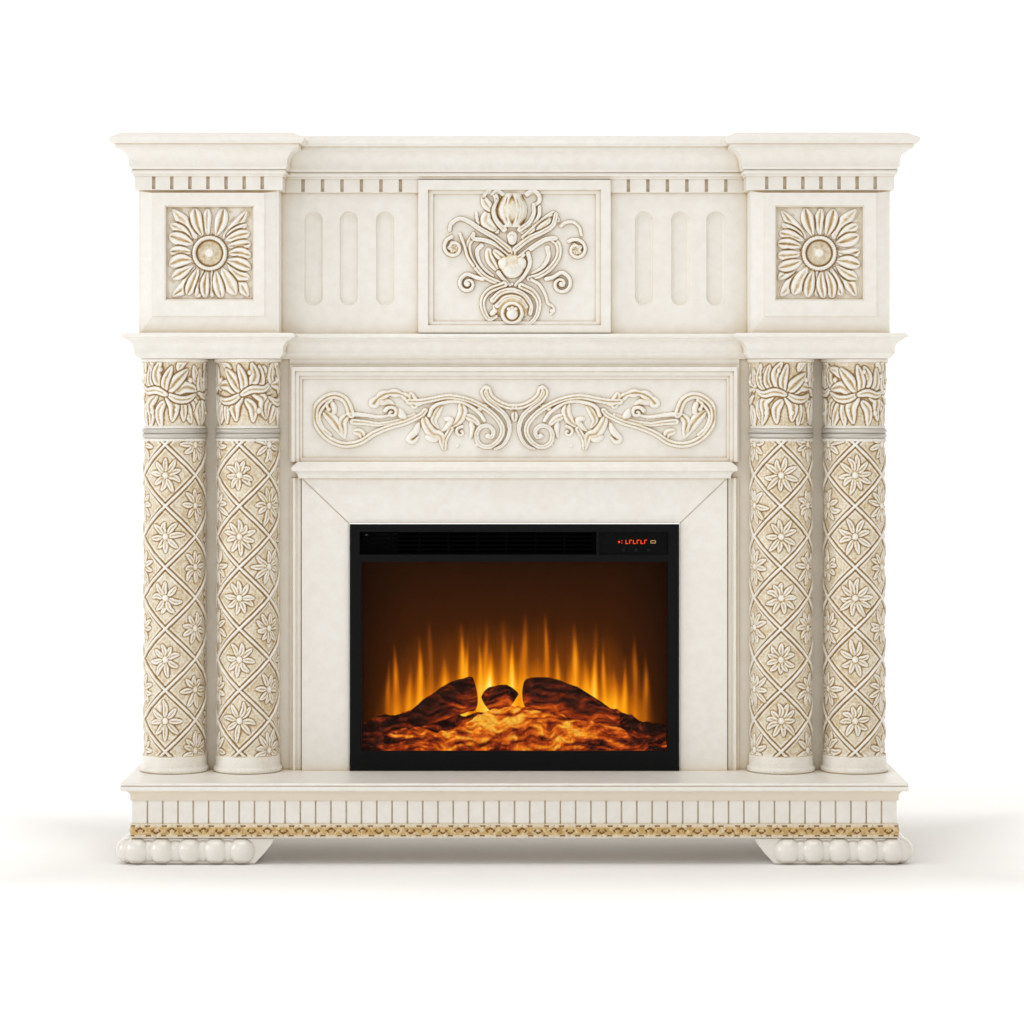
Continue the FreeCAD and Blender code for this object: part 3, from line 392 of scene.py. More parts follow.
def smooth_path(points, spacing=1.5):
    """Catmull-Rom curve through the points, sampled about every `spacing` millimetres."""
    pts = np.asarray(points, float)
    pts = np.vstack([2 * pts[0] - pts[1], pts, 2 * pts[-1] - pts[-2]])
    rows = []
    for a, b, c, d in zip(pts, pts[1:], pts[2:], pts[3:]):
        count = max(2, int(np.linalg.norm(c - b) / spacing))
        t = (np.arange(count) / count)[:, None]
        rows.append(0.5 * (2 * b + (c - a) * t + (2 * a - 5 * b + 4 * c - d) * t ** 2
                           + (3 * b - a - 3 * c + d) * t ** 3))
    rows.append(pts[-2][None])
    return np.vstack(rows)


def spiral(centre, radius, turns, start_degrees, clockwise=False, inner=0.12, count=14):
    """Points of a volute that winds in to its centre."""
    share = np.linspace(0, 1, int(count * turns) + 2)
    angle = np.radians(start_degrees) + (-1 if clockwise else 1) * 2 * np.pi * turns * share
    reach = radius * (1 - (1 - inner) * share ** 0.85)
    return [(centre[0] + r * math.cos(a), centre[1] + r * math.sin(a)) for r, a in zip(reach, angle)]


class Relief:
    """Heights in millimetres over a flat grid (u across, v up), built up from strokes."""

    def __init__(self, u_range, v_range, step, ground=-2.0):
        self.u = np.linspace(*u_range, int(round((u_range[1] - u_range[0]) / step)) + 1)
        self.v = np.linspace(*v_range, int(round((v_range[1] - v_range[0]) / step)) + 1)
        self.U, self.V = np.meshgrid(self.u, self.v, indexing="ij")
        self.h = np.full(self.U.shape, float(ground))
        self.step = step

    def window(self, low, high):
        i0, i1 = np.searchsorted(self.u, (low[0], high[0]))
        j0, j1 = np.searchsorted(self.v, (low[1], high[1]))
        return slice(max(i0 - 1, 0), i1 + 1), slice(max(j0 - 1, 0), j1 + 1)

    def raise_to(self, where, height):
        self.h[where] = np.maximum(self.h[where], height)

    def stroke(self, points, start, end, tall, groove=0.0, base=0.0, leaf=0.0, scallops=0, curve=True,
               cut=0.0):
        """A raised band along a curve.

        start and end are half-widths. leaf narrows both ends (start is then the widest) and says
        where the widest place lies: below 1 nearer the start, above 1 nearer the end. scallops
        cuts lobes into the edges, and groove hollows the centre line.
        cut lays the band over what is there, with a channel of that depth along its edges.
        """
        line = smooth_path(points) if curve else np.asarray(points, float)
        steps = np.hypot(*np.diff(line, axis=0).T)
        share = np.concatenate([[0], np.cumsum(steps)]) / max(steps.sum(), 1e-9)
        if leaf:
            half = start * np.maximum(0, np.sin(np.pi * np.minimum(1, share) ** leaf)) ** 0.7 + end
        else:
            half = start + (end - start) * share
        if scallops:
            half = half * (1 + LOBE_DEPTH * np.cos(2 * np.pi * scallops * share))
        reach = half.max() + 4
        where = self.window(line.min(0) - reach, line.max(0) + reach)
        U, V = self.U[where], self.V[where]
        best = np.full(U.shape, 1e9)
        width = np.full(U.shape, 1.0)
        for chunk in range(0, len(line), 24):
            part = slice(chunk, chunk + 24)
            away = np.hypot(U[..., None] - line[part, 0], V[..., None] - line[part, 1])
            ratio = away / half[part]
            nearest = ratio.argmin(-1)
            value = np.take_along_axis(ratio, nearest[..., None], -1)[..., 0]
            closer = value < best
            best = np.where(closer, value, best)
            width = np.where(closer, half[part][nearest], width)
        fullness = np.minimum(1.0, width / max(half.max(), 1e-6)) ** 0.5
        dome = np.sqrt(np.maximum(0, 1 - best ** 2))
        if groove:
            dome = dome * (1 - groove * np.exp(-(best / 0.42) ** 2))
        inside = base + tall * fullness * dome
        if cut:
            beside = (best >= 1) & ((best - 1) * width < CHANNEL_WIDTH)
            sunk = np.maximum(self.h[where] - cut, DEEPEST_CUT)
            self.h[where] = np.where(beside, sunk, np.where(best < 1, inside, self.h[where]))
        outside = base - (best - 1) * width * SKIRT_FALL
        self.raise_to(where, np.where(best < 1, inside, outside))

    def ball(self, centre, radius_u, radius_v, tall, base=0.0, groove=0.0):
        """A rounded lump, oval if its two radii differ."""
        reach = max(radius_u, radius_v) + 3
        where = self.window(np.array(centre) - reach, np.array(centre) + reach)
        across = (self.U[where] - centre[0]) / radius_u
        along = (self.V[where] - centre[1]) / radius_v
        q = np.hypot(across, along)
        dome = np.sqrt(np.maximum(0, 1 - q ** 2))
        if groove:
            dome = dome * (1 - groove * np.exp(-(across / 0.28) ** 2))
        outside = base - (q - 1) * min(radius_u, radius_v) * SKIRT_FALL
        self.raise_to(where, np.where(q < 1, base + tall * dome, outside))

    def ring(self, centre, radius, half, tall, base=0.0):
        around = np.linspace(0, 2 * np.pi, 40)
        points = [(centre[0] + radius * math.cos(a), centre[1] + radius * math.sin(a)) for a in around]
        self.stroke(points, half, half, tall, base=base, curve=False)

    def roughen(self, amount, seed):
        """Small hand-carved unevenness."""
        noise = np.random.default_rng(seed).normal(size=self.h.shape)
        self.h += amount * box_blur(noise, 3) * 6

    # The carved materials use this for glaze and painted shade in the hollows, and carved_resin also for a
    # painted highlight on the crests.
    def cavity(self, reach_mm=3.0, depth_mm=1.1):
        """How far each place lies below what is round it, 0 on crests and 1 in deep hollows."""
        span = max(1, int(round(reach_mm / self.step)))
        around = box_blur(box_blur(self.h, span), span)
        return np.clip(0.35 + (around - self.h) / (2 * depth_mm), 0, 1)


def box_blur(field, span):
    """Mean over a square of 2 span + 1 cells, with the edges held."""
    for axis in (0, 1):
        padded = np.pad(field, [(span + 1, span) if a == axis else (0, 0) for a in (0, 1)], mode="edge")
        total = np.cumsum(padded, axis=axis)
        size = 2 * span + 1
        if axis == 0:
            field = (total[size:] - total[:-size]) / size
        else:
            field = (total[:, size:] - total[:, :-size]) / size
    return field


def build_mesh(name, verts, faces, **attributes):
    """Smooth-shaded mesh from vertices, face groups (one array per face size) and point attributes."""
    used, packed = np.unique(np.concatenate([group.ravel() for group in faces]), return_inverse=True)
    sizes = np.concatenate([np.full(len(group), group.shape[1]) for group in faces])
    starts = np.concatenate([[0], np.cumsum(sizes)[:-1]])
    mesh = bpy.data.meshes.new(name)
    mesh.vertices.add(len(used))
    mesh.vertices.foreach_set("co", verts[used].astype(np.float32).ravel())
    mesh.loops.add(len(packed))
    mesh.loops.foreach_set("vertex_index", packed.astype(np.int32).ravel())
    mesh.polygons.add(len(sizes))
    mesh.polygons.foreach_set("loop_start", starts.astype(np.int32))
    mesh.update(calc_edges=True)
    for key, values in attributes.items():
        values = values[used]
        if values.shape[1] == 1:
            field = mesh.attributes.new(key, "FLOAT", "POINT")
            field.data.foreach_set("value", values.astype(np.float32).ravel())
        else:
            colours = np.hstack([values, np.ones((len(values), 1))]).astype(np.float32)
            field = mesh.color_attributes.new(key, "FLOAT_COLOR", "POINT")
            field.data.foreach_set("color", colours.ravel())
    mesh.validate()
    mesh.shade_smooth()
    return mesh


def grid_mesh(name, points, back, keep=None, **attributes):
    """Closed mesh of a grid of points (rows, columns, 3) and the sheet back behind it.

    keep says which points belong to it, and without keep all do.
    """
    rows, columns = points.shape[:2]
    cells = np.ones((rows - 1, columns - 1), bool) if keep is None else (
        keep[:-1, :-1] | keep[1:, :-1] | keep[:-1, 1:] | keep[1:, 1:])
    index = np.arange(rows * columns).reshape(rows, columns)
    quads = np.stack([index[:-1, :-1], index[1:, :-1], index[1:, 1:], index[:-1, 1:]], -1)[cells]
    count = rows * columns
    verts = np.vstack([points.reshape(-1, 3), back.reshape(-1, 3)])
    values = {key: np.vstack([field.reshape(count, -1)] * 2) for key, field in attributes.items()}
    quads = np.vstack([quads, quads[:, ::-1] + count, border_walls(cells, index, count)])
    return build_mesh(name, verts, [quads], **values)


def tube_mesh(name, points, **attributes):
    """Closed mesh from rings of points (rings, points round, 3), with a flat cap at each end."""
    rings, around = points.shape[:2]
    index = np.arange(rings * around).reshape(rings, around)
    beside = np.roll(index, -1, axis=1)
    quads = np.stack([index[:-1], beside[:-1], beside[1:], index[1:]], -1).reshape(-1, 4)
    values = {key: field.reshape(rings * around, -1) for key, field in attributes.items()}
    return build_mesh(name, points.reshape(-1, 3), [quads, index[:1, ::-1], index[-1:]], **values)


def border_walls(cells, index, count):
    """Quads that join the front sheet's open edges to the sheet behind it."""
    padded = np.pad(cells, 1)
    walls = []
    for (di, dj), (a, b) in (((-1, 0), ((0, 1), (0, 0))), ((1, 0), ((1, 0), (1, 1))),
                             ((0, -1), ((0, 0), (1, 0))), ((0, 1), ((1, 1), (0, 1)))):
        beside = padded[1 + di:padded.shape[0] - 1 + di, 1 + dj:padded.shape[1] - 1 + dj]
        i, j = np.nonzero(cells & ~beside)
        first, second = index[i + a[0], j + a[1]], index[i + b[0], j + b[1]]
        walls.append(np.stack([second, first, first + count, second + count], -1))
    return np.vstack(walls)


def add_piece(name, mesh, material, body="root", replaces=()):
    piece = bpy.data.objects.new(name, mesh)
    bpy.context.scene.collection.objects.link(piece)
    mesh.materials.clear()
    mesh.materials.append(material)
    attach(piece, body)
    if replaces:
        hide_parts(*replaces)
    return piece


def panel_relief(name, relief, centre_x, centre_z, surface_y, material, node, sink=1.2):
    """Turns a relief into a closed carving that lies on an upright panel facing the front."""
    keep = relief.h > -sink
    height = np.maximum(relief.h, -sink - 0.4)
    x = centre_x + relief.U * MM
    z = centre_z + relief.V * MM
    front = np.stack([x, surface_y - height * MM, z], -1)
    back = np.stack([x, np.full_like(x, surface_y + (sink + 0.5) * MM), z], -1)
    mesh = grid_mesh(name, front, back, keep, cavity=relief.cavity())
    return add_piece(name, mesh, material, replaces=(node,))


# ---- ornaments on the flat panels ------------------------------------------------------
ROSETTE_PETALS = (
    # start, tip (across, up from the boss), widest half-width, centre groove; later ones lie on top
    ((-24, 26), (-66, 78), 9.5, 0.30), ((24, 26), (67, 76), 7.5, 0.50), ((34, -34), (68, -76), 9.0, 0.40),
    ((-24, -26), (-66, -76), 9.5, 0.55), ((-2, 28), (-3, 78), 5.5, 0.35), ((4, -28), (4, -76), 4.0, 0.30),
    ((30, 30), (66, 52), 6.0, 0.45), ((-30, 22), (-68, 50), 6.5, 0.40), ((-30, -22), (-66, -44), 6.5, 0.45),
    ((30, -16), (70, -44), 6.5, 0.40), ((-12, 28), (-26, 77), 8.0, 0.60), ((10, 28), (24, 77), 8.0, 0.60),
    ((26, 22), (69, 36), 7.0, 0.50), ((-28, 16), (-69, 30), 8.5, 0.55), ((-30, 2), (-70, 3), 7.0, 0.65),
    ((-28, -12), (-70, -20), 8.0, 0.50), ((30, 12), (71, 17), 7.0, 0.65), ((30, 0), (71, -4), 7.0, 0.50),
    ((28, -12), (70, -26), 7.5, 0.50), ((20, -24), (44, -70), 9.0, 0.35), ((-20, -24), (-40, -74), 7.0, 0.55),
    ((-12, -28), (-23, -78), 6.5, 0.50), ((10, -28), (20, -77), 7.0, 0.45), ((-4, -28), (-8, -77), 6.0, 0.50))


def rosette_relief(seed, flip):
    """Square flower: grooved petals that fill the recess to its corners, round a ring and boss."""
    relief = Relief((-72, 72), (-78.5, 78.5), 0.9, ground=0.0)
    wobble = np.random.default_rng(seed)
    for start, tip, half, groove in ROSETTE_PETALS:
        bend = 2.5 * wobble.normal()
        away = math.hypot(*tip)
        middle = ((start[0] + tip[0]) / 2 - tip[1] / away * bend,
                  (start[1] + tip[1]) / 2 + tip[0] / away * bend)
        pointed = min(abs(tip[0]), abs(tip[1])) > 50
        reach = 1 - 0.035 * wobble.random()
        points = [start, middle, (tip[0] * reach, tip[1] * reach)]
        points = [(flip * u, v) for u, v in points]
        widen, leaf = (1.1, 0.9) if pointed else (1.3, 1.5)
        tall = 8.5 + wobble.normal() * 0.5
        relief.stroke(points, half * widen, 1.6, tall, groove=groove, leaf=leaf, cut=2.5)
    boss = np.hypot(relief.U, relief.V)
    dish = 3.0 + 8.5 * np.exp(-(boss / 9.5) ** 2)
    relief.h = np.where(boss < 31, np.where(boss < 22.5, dish, 2.0), relief.h)
    relief.ring((0, 0), 27, 3.6, 9.0, base=2.5)
    relief.ring((0, 0), 4.5, 1.6, 1.6, base=9.5)
    relief.h = np.minimum(relief.h, 19)
    relief.roughen(0.16, seed)
    return relief


BAND = 0.42
START_SWELL = 1.15
END_SWELL = 1.1
SCROLL_SQUASH = 0.93
SCROLL_STROKES = (
    # right half: path across and up from the middle, half-widths at start and end, height, groove, leaf
    # stem: volute at the far end, sweeping under and rising towards the middle
    ([(287, 5), (297, 31), (313, 41), (330, 38), (346, 24), (351, 6), (348, -13), (335, -33), (318, -46),
      (297, -52), (272, -47), (248, -31), (222, -19), (193, -10), (165, 4), (157, 13)],
     6.5, 5.0, 9.5, BAND, 0),
    ([(327, 14), (331, 26), (323, 33), (337, 18), (344, 2), (338, -18), (324, -33)], 3.6, 3.0, 6.5, 0, 0),
    ([(336, 12), (322, -2), (311, -18), (300, -38)], 7.5, 1.5, 7.5, 0.5, LEAF),
    ([(293, 6), (303, -8), (302, -24), (299, -40)], 6.5, 1.5, 7.0, 0.5, LEAF),
    ([(322, 30), (318, 12), (326, 0)], 4.5, 1.2, 6.5, 0, LEAF),
    # leaf along the stem
    ([(292, 7), (262, 4), (236, 1), (214, 6)], 4.6, 2.6, 7.5, 0, 0),
    ([(284, -8), (262, -10), (238, -13), (204, -6), (176, 6)], 5.6, 2.5, 8.0, BAND, 0),
    ([(283, -26), (270, -30), (266, -44)], 5.5, 1.5, 6.5, 0.4, LEAF),
    # acanthus curl that rolls outward over the stem
    ([(245, 24), (236, 30), (222, 29), (212, 24)], 5.0, 2.0, 6.0, 0, LEAF),
    (spiral((216, 9), 12, 1.2, 20, clockwise=False), 4.2, 3.0, 8.5, 0, 0),
    ([(204, 14), (198, 4), (190, -4)], 5.0, 2.0, 7.0, 0, LEAF),
    ([(182, 46), (180, 36), (172, 28), (158, 30)], 6.0, 1.5, 8.5, 0.4, LEAF),
    # big arch and its volute
    ([(186, 30), (166, 30), (144, 34), (118, 39), (92, 36), (66, 26), (42, 10), (25, -10), (21, -28),
      (30, -46), (46, -56), (62, -50), (67, -33), (60, -19), (46, -16), (37, -26), (40, -37), (48, -36)],
     5.4, 3.8, 10.0, BAND, 0),
    ([(150, 4), (144, 18), (130, 27), (104, 31), (82, 24), (62, 8), (53, -6)], 4.2, 3.4, 7.5, 0, 0),
    # ribbon from the middle, round the outside of the volute
    ([(50, 56), (55, 47), (47, 32), (30, 18), (16, 4), (9, -14), (10, -34), (20, -52), (34, -60)],
     5.2, 3.0, 10.5, BAND, 0),
    ([(47, 54), (42, 40), (28, 28), (12, 21), (0, 20)], 5.5, 5.5, 10.5, BAND, 0),
    # leaves and drops that hang from the arch
    ([(160, 2), (155, -14), (144, -30), (130, -36), (126, -58)], 6.5, 2.5, 7.5, 0.35, LEAF),
    ([(168, -10), (174, -26), (186, -41), (178, -46), (168, -36)], 4.2, 1.6, 6.0, 0, LEAF),
    ([(155, -36), (142, -41), (131, -39)], 5.0, 1.5, 6.5, 0, LEAF),
    ([(94, 28), (91, 10), (99, -8), (112, -18)], 6.0, 2.0, 8.0, 0.4, LEAF),
    ([(88, 4), (72, -4), (60, -16)], 5.0, 1.6, 7.0, 0.3, LEAF),
    ([(124, -2), (112, -6), (118, -18), (128, -26)], 4.6, 1.4, 6.5, 0, LEAF),
    ([(128, 22), (136, 10), (142, -6), (134, -20)], 5.2, 1.5, 6.5, 0.4, LEAF),
    ([(112, -22), (122, -42), (124, -60)], 5.0, 4.5, 7.0, 0.5, 0),
    ([(66, 12), (56, 20), (44, 22)], 4.0, 1.2, 6.0, 0, LEAF),
    (spiral((94, -28), 11, 1.0, 100, clockwise=True), 3.2, 2.6, 6.0, 0, 0),
    ([(76, -6), (74, -26), (78, -40)], 3.6, 1.4, 5.5, 0, LEAF))


def scroll_relief():
    """Running scroll for the panel above the fire, drawn for one half and mirrored."""
    relief = Relief((-354, 354), (-62, 62), 1.25)
    for path, start, end, tall, groove, leaf in SCROLL_STROKES:
        for side in (1, -1):
            mirrored = [(side * u, v) for u, v in path]
            relief.stroke(mirrored, start * START_SWELL, end * END_SWELL, tall, groove=groove, leaf=leaf)
    for side in (1, -1):
        curl = [(247, 27), (238, 38), (220, 46), (200, 44), (186, 34), (176, 22)]
        relief.stroke([(side * u, v) for u, v in curl], 7.5 * START_SWELL, 5.0 * END_SWELL, 9.0, groove=0.45,
                      scallops=4)
        relief.ball((side * 100, -54), 3.4, 3.4, 4.0)
        relief.ball((side * 66, -52), 3.6, 3.2, 4.0)
        relief.ball((side * 327, 15), 5.0, 5.0, 8.0)
        relief.ball((side * 46, -35), 5.0, 5.0, 8.0)
    relief.ball((0, 2), 7, 11, 8.0, groove=0.5)
    relief.v *= SCROLL_SQUASH
    relief.V *= SCROLL_SQUASH
    relief.roughen(0.10, 21)
    return relief


CARTOUCHE_BANDS = (
    # path across and up from the panel's middle, half-widths at start and end, height, centre groove, leaf
    # leaves and curls of the tulip
    (((-31, 47), (-52, 52), (-64, 63), (-67, 79)), 5.0, 3.0, 8, 0.35, 0),
    (((-34, 50), (-50, 64), (-46, 84)), 9.5, 2.0, 7, 0.30, LEAF),
    (((-40, 84), (-50, 96), (-56, 110)), 7.0, 2.0, 8, 0.35, LEAF),
    (((-30, 96), (-34, 110), (-46, 118), (-54, 108)), 5.5, 3.0, 9, 0.40, 0),
    (((-20, 112), (-30, 119), (-40, 112)), 4.5, 3.0, 8, 0.30, 0),
    (((14, 46), (31, 58), (43, 74), (44, 90)), 5.0, 3.5, 9, 0.30, 0),
    (((22, 112), (32, 119), (42, 112), (44, 100), (34, 92)), 5.0, 3.5, 10, 0.35, 0),
    (((10, 50), (26, 62), (34, 78), (34, 94)), 5.5, 3.5, 10, 0.40, 0),
    (((-18, 50), (-32, 66), (-37, 84), (-30, 100)), 5.5, 3.5, 10, 0.40, 0),
    # side C scrolls, each with an inner line
    (((-58, 22), (-66, 10), (-58, -14), (-38, -32)), 4.5, 3.0, 6, 0.40, 0),
    (((58, 18), (60, 2), (50, -16), (32, -28)), 4.5, 3.0, 6, 0.45, 0),
    (((-74, 36), (-81, 22), (-78, 2), (-66, -18), (-50, -34), (-26, -45)), 5.5, 5.0, 10, 0.50, 0),
    (((66, 34), (77, 22), (77, 2), (64, -17), (46, -30), (26, -37)), 5.5, 5.0, 10, 0.50, 0),
    (((-96, 42), (-88, 22), (-82, 2), (-72, -14)), 3.2, 3.2, 7, 0.0, 0),
    # straps that rise from the middle, and their tendrils
    (((82, 56), (90, 62), (103, 63), (114, 54), (118, 40)), 3.4, 2.8, 7, 0.0, 0),
    (((17, 36), (40, 57), (58, 72), (70, 78), (76, 66)), 5.5, 4.5, 9, 0.45, 0),
    (((40, 48), (56, 60), (64, 70)), 6.0, 2.0, 7, 0.30, LEAF),
    (((-9, 5), (-31, 23), (-52, 31), (-72, 34), (-72, 42)), 4.5, 4.0, 9, 0.40, 0),
    (((8, 0), (31, 18), (54, 32), (72, 34)), 5.0, 4.5, 9, 0.40, 0),
    (((-8, 14), (-34, 35), (-61, 51), (-80, 64), (-97, 69), (-111, 60), (-114, 49)), 5.5, 3.6, 10, 0.45, 0),
    (((1, 15), (26, 34), (51, 46), (68, 58), (73, 76)), 5.5, 4.5, 10.5, 0.45, 0),
    # leaves round the shield
    (((-46, 16), (-42, -4), (-28, -24)), 6.5, 2.0, 8, 0.45, LEAF),
    (((-36, 12), (-24, 2), (-12, -2)), 5.5, 2.0, 8, 0.40, LEAF),
    (((24, 8), (27, -10), (18, -30), (2, -48)), 4.5, 3.0, 9, 0.35, 0),
    (((-28, -26), (-20, -36), (-8, -48)), 4.5, 2.5, 9, 0.35, 0),
    # foot: tail, crescents and the arcs over the boss
    (((30, -38), (44, -47), (54, -64), (59, -80), (66, -84), (70, -92), (64, -99)), 3.6, 2.4, 6, 0.0, 0),
    (((-18, -47), (-43, -57), (-55, -72), (-55, -90), (-45, -107), (-33, -103)), 6.5, 4.0, 9, 0.60, 0),
    (((12, -50), (33, -61), (43, -80), (38, -104), (22, -121)), 6.5, 3.5, 9, 0.55, 0),
    (((-42, -100), (-34, -92), (-36, -82)), 4.0, 1.5, 7, 0.0, LEAF),
    (((-38, -74), (-24, -61), (-3, -57), (18, -66), (29, -84), (28, -98)), 5.5, 4.0, 9.5, 0.45, 0),
    (((-30, -84), (-14, -70), (8, -71), (21, -86)), 5.5, 4.0, 8.5, 0.35, 0))


def cartouche_relief():
    """Cartouche: egg in a tulip over a heart shield, with straps, tendrils and volutes."""
    relief = Relief((-136, 136), (-124, 126), 1.0)
    for path, start, end, tall, groove, leaf in CARTOUCHE_BANDS:
        relief.stroke(path, start, end, tall, groove=groove, leaf=leaf, base=1.0, cut=1.6)
    relief.stroke([(-4, -14), (-4, -46)], 22, 3, 11, base=1.0, curve=False)
    for lobe in (-16, 8):
        relief.ball((lobe, -10), 14, 14, 10.0, base=1.0)
    relief.ball((-4, -84), 34, 26, 7.0, base=0.5)
    egg = (-4, 84)
    relief.stroke([(egg[0], egg[1] - 1), (egg[0], egg[1] + 1)], 27, 27, 10, base=0.5, curve=False, cut=2.5)
    relief.ball(egg, 24.5, 28, 15.5, base=1.0)
    for turn in (-17, -9, 9, 15, 20):
        rib = [(egg[0] + turn * share, egg[1] + rise) for share, rise in ((0.55, -24), (1, 0), (0.55, 24))]
        relief.stroke(rib, 1.4, 1.2, 1.4, base=15.6 * math.sqrt(1 - (turn / 25) ** 2))
    relief.stroke([(-16, 56), (-4, 61), (8, 56)], 3.5, 3.5, 8, base=2)
    relief.stroke([(-4, 38), (-4, 30)], 9.5, 8.0, 7, base=1, groove=0.5, cut=1.5)
    relief.ball((-4, 34), 6, 9, 6.5, base=2)
    relief.ball((-2, 10), 6, 8, 8.0, base=1, groove=0.5)
    relief.ring((-4, -97), 17, 4.2, 9.0, base=1)
    relief.ball((-4, -99), 12, 13, 11.0, base=2)
    for angle in (50, 90, 130):
        place = (-4 + 9 * math.cos(math.radians(angle)), -97 + 9 * math.sin(math.radians(angle)))
        relief.ball(place, 4, 3.4, 5.0, base=6)
    for side, centre, radius in ((-1, (-107, 18), 19), (1, (109, 14), 20)):
        turning = spiral(centre, radius, 1.15, 100 if side < 0 else 130, clockwise=side > 0, inner=0.35)
        relief.stroke(turning, 3.8, 3.0, 7.5, base=1)
        for angle in (20, 100, 170, 240, 310):
            c, s = math.cos(math.radians(angle)), math.sin(math.radians(angle))
            petal = [(centre[0] + 2 * c, centre[1] + 2 * s),
                     (centre[0] + 11 * c - 3 * s, centre[1] + 12 * s + 3 * c)]
            relief.stroke(petal, 3.6, 1.4, 6.5, base=1, leaf=LEAF, groove=0.35)
    for side, radius in ((-1, 17), (1, 20)):
        centre = (side * 82, -46)
        arm = [(centre[0] - side * 26, -37), (centre[0] - side * 14, -34)]
        volute = spiral(centre, radius, 1.55, 90, clockwise=side > 0, inner=0.1)
        relief.stroke(arm + volute, 4.2, 3.2, 8.0, base=1)
        relief.ball(centre, 5, 5, 8.0, base=1)
    relief.ball((66, -93), 4, 4, 5.0, base=1)
    relief.roughen(0.14, 33)
    return relief


# ---- columns ---------------------------------------------------------------------------
COLUMN_TALL = 724
UNROLL_RADIUS = 54.0
SHAFT_RADIUS = 52.0
LATTICE_TURN = math.radians(120)
LATTICE_RISE = 107.0
FIRST_FLOWER = 39.0
RING_ZONE = (585.0, 602.0)
RING_MIDDLE = 593
FIELD = (31.0, 583.0)
CAPITAL_ZONE = (605.5, 717.5)
COLUMN_PROFILE = (
    # height above the column's foot and radius of its ground there
    (0, 57.5), (1.2, 59.2), (3, 60), (6, 60), (8.5, 59), (10, 57), (30, 56), (32, 52.4), (579, 52.4),
    (580, 55), (584.9, 55), (585, 50.2), (602, 50.2), (602.1, 55), (605, 55), (606, 50.5), (660, 51),
    (716, 53), (718, 59), (723, 59.5), (COLUMN_TALL, 58.5))
CAPITAL_LEAVES = (
    # path from the node of the star (across, up), widest half-width, height, centre groove; later on top
    (((-42, 6), (-52, 22), (-48, 50)), 6.5, 5.0, 0.55),
    (((48, 12), (56, 28), (52, 50)), 6.5, 5.0, 0.50),
    (((-44, -12), (-56, -28), (-50, -54)), 6.5, 5.0, 0.50),
    (((44, -14), (56, -30), (54, -54)), 6.5, 5.0, 0.55),
    (((24, 36), (30, 46), (42, 54)), 5.5, 4.5, 0.40),
    (((-28, 32), (-34, 44), (-28, 56)), 5.5, 4.5, 0.40),
    (((-22, 4), (-34, 18), (-32, 46)), 7.0, 5.5, 0.60),
    (((30, -12), (38, -30), (46, -52)), 7.5, 5.5, 0.55),
    (((-6, -14), (-16, -30), (-14, -54)), 7.0, 5.5, 0.50),
    (((26, -12), (28, -32), (26, -55)), 6.0, 5.0, 0.50),
    (((16, 2), (30, 14), (54, 12)), 8.5, 6.0, 0.60),
    (((-20, -2), (-38, -16), (-36, -36), (-42, -54)), 8.0, 6.5, 0.55),
    (((-2, 2), (-15, 14), (-22, 30), (-16, 50)), 8.5, 6.5, 0.50),
    (((4, 3), (18, 22), (38, 44)), 9.0, 6.5, 0.60),
    (((2, -5), (14, -22), (12, -48)), 9.0, 6.5, 0.60),
    (((-3, 4), (-4, 22), (4, 50)), 6.5, 7.0, 0.45),
    (((3, -3), (20, -11), (38, -11), (56, -2)), 5.5, 7.0, 0.40),
    (((2, -3), (-17, 2), (-38, -2), (-56, 6)), 5.5, 7.0, 0.40))


def column_radius(rise):
    """Radius in millimetres of the column's ground at a height above its foot."""
    heights, radii = zip(*COLUMN_PROFILE)
    return np.interp(rise, heights, radii)


def lattice_relief(relief, phase, wobble):
    """Diagonal ridges that cross round the column, and a flower in every diamond."""
    across = LATTICE_TURN * UNROLL_RADIUS
    per_unit = 1 / math.hypot(1 / across, 1 / LATTICE_RISE)
    a = (relief.U - phase * UNROLL_RADIUS) / across
    b = (relief.V - FIRST_FLOWER) / LATTICE_RISE
    band = (relief.V > FIELD[0]) & (relief.V < FIELD[1] - 3)
    lattice = np.zeros_like(relief.h)
    for f in (a + b, a - b):
        away = np.abs(f - np.round(f)) * per_unit
        ridge = 3.7 * np.sqrt(np.maximum(0, 1 - (away / 2.5) ** 2))
        groove = -0.9 * np.exp(-((away - 3.7) / 1.0) ** 2)
        second = 0.7 * np.exp(-((away - 7.0) / 1.3) ** 2)
        beside = np.where(lattice > 1.0, lattice, lattice + groove + second)
        lattice = np.where(ridge > 0.4, np.maximum(lattice, ridge), beside)
    relief.h = np.where(band, lattice, relief.h)
    rows = int(FIELD[1] / LATTICE_RISE) + 2
    for half_row in range(2 * rows):
        rise = FIRST_FLOWER + half_row * LATTICE_RISE / 2
        if not FIELD[0] - 10 < rise < FIELD[1] + 12:
            continue
        shift = 0.5 if half_row % 2 == 0 else 0.0
        for turn in (-1, 0, 1):
            centre = ((turn + shift) * across + phase * UNROLL_RADIUS, rise)
            if abs(centre[0]) < relief.u[-1] + 25:
                flower(relief, centre, wobble)


def flower(relief, centre, wobble):
    """Small raised flower: a boss and eight to ten petals, each with a hollow down its middle."""
    petals = int(wobble.integers(8, 11))
    turn = wobble.random() * 2 * math.pi
    size = 1 + 0.08 * wobble.normal()
    for i in range(petals):
        angle = turn + 2 * math.pi * (i + 0.12 * wobble.normal()) / petals
        reach = size * 27.5 * (1 + 0.10 * wobble.normal())
        c, s = math.cos(angle), math.sin(angle) * 1.06
        start, middle = 7.5, 0.62 * reach
        side = 1.5 * wobble.normal()
        points = [(centre[0] + c * start, centre[1] + s * start),
                  (centre[0] + c * middle - s * side, centre[1] + s * middle + c * side),
                  (centre[0] + c * reach, centre[1] + s * reach)]
        relief.stroke(points, 3.4, 1.6, 3.4, groove=0.75, leaf=LEAF, cut=0.8)
    relief.ball(centre, 6.0, 6.5, 3.2)


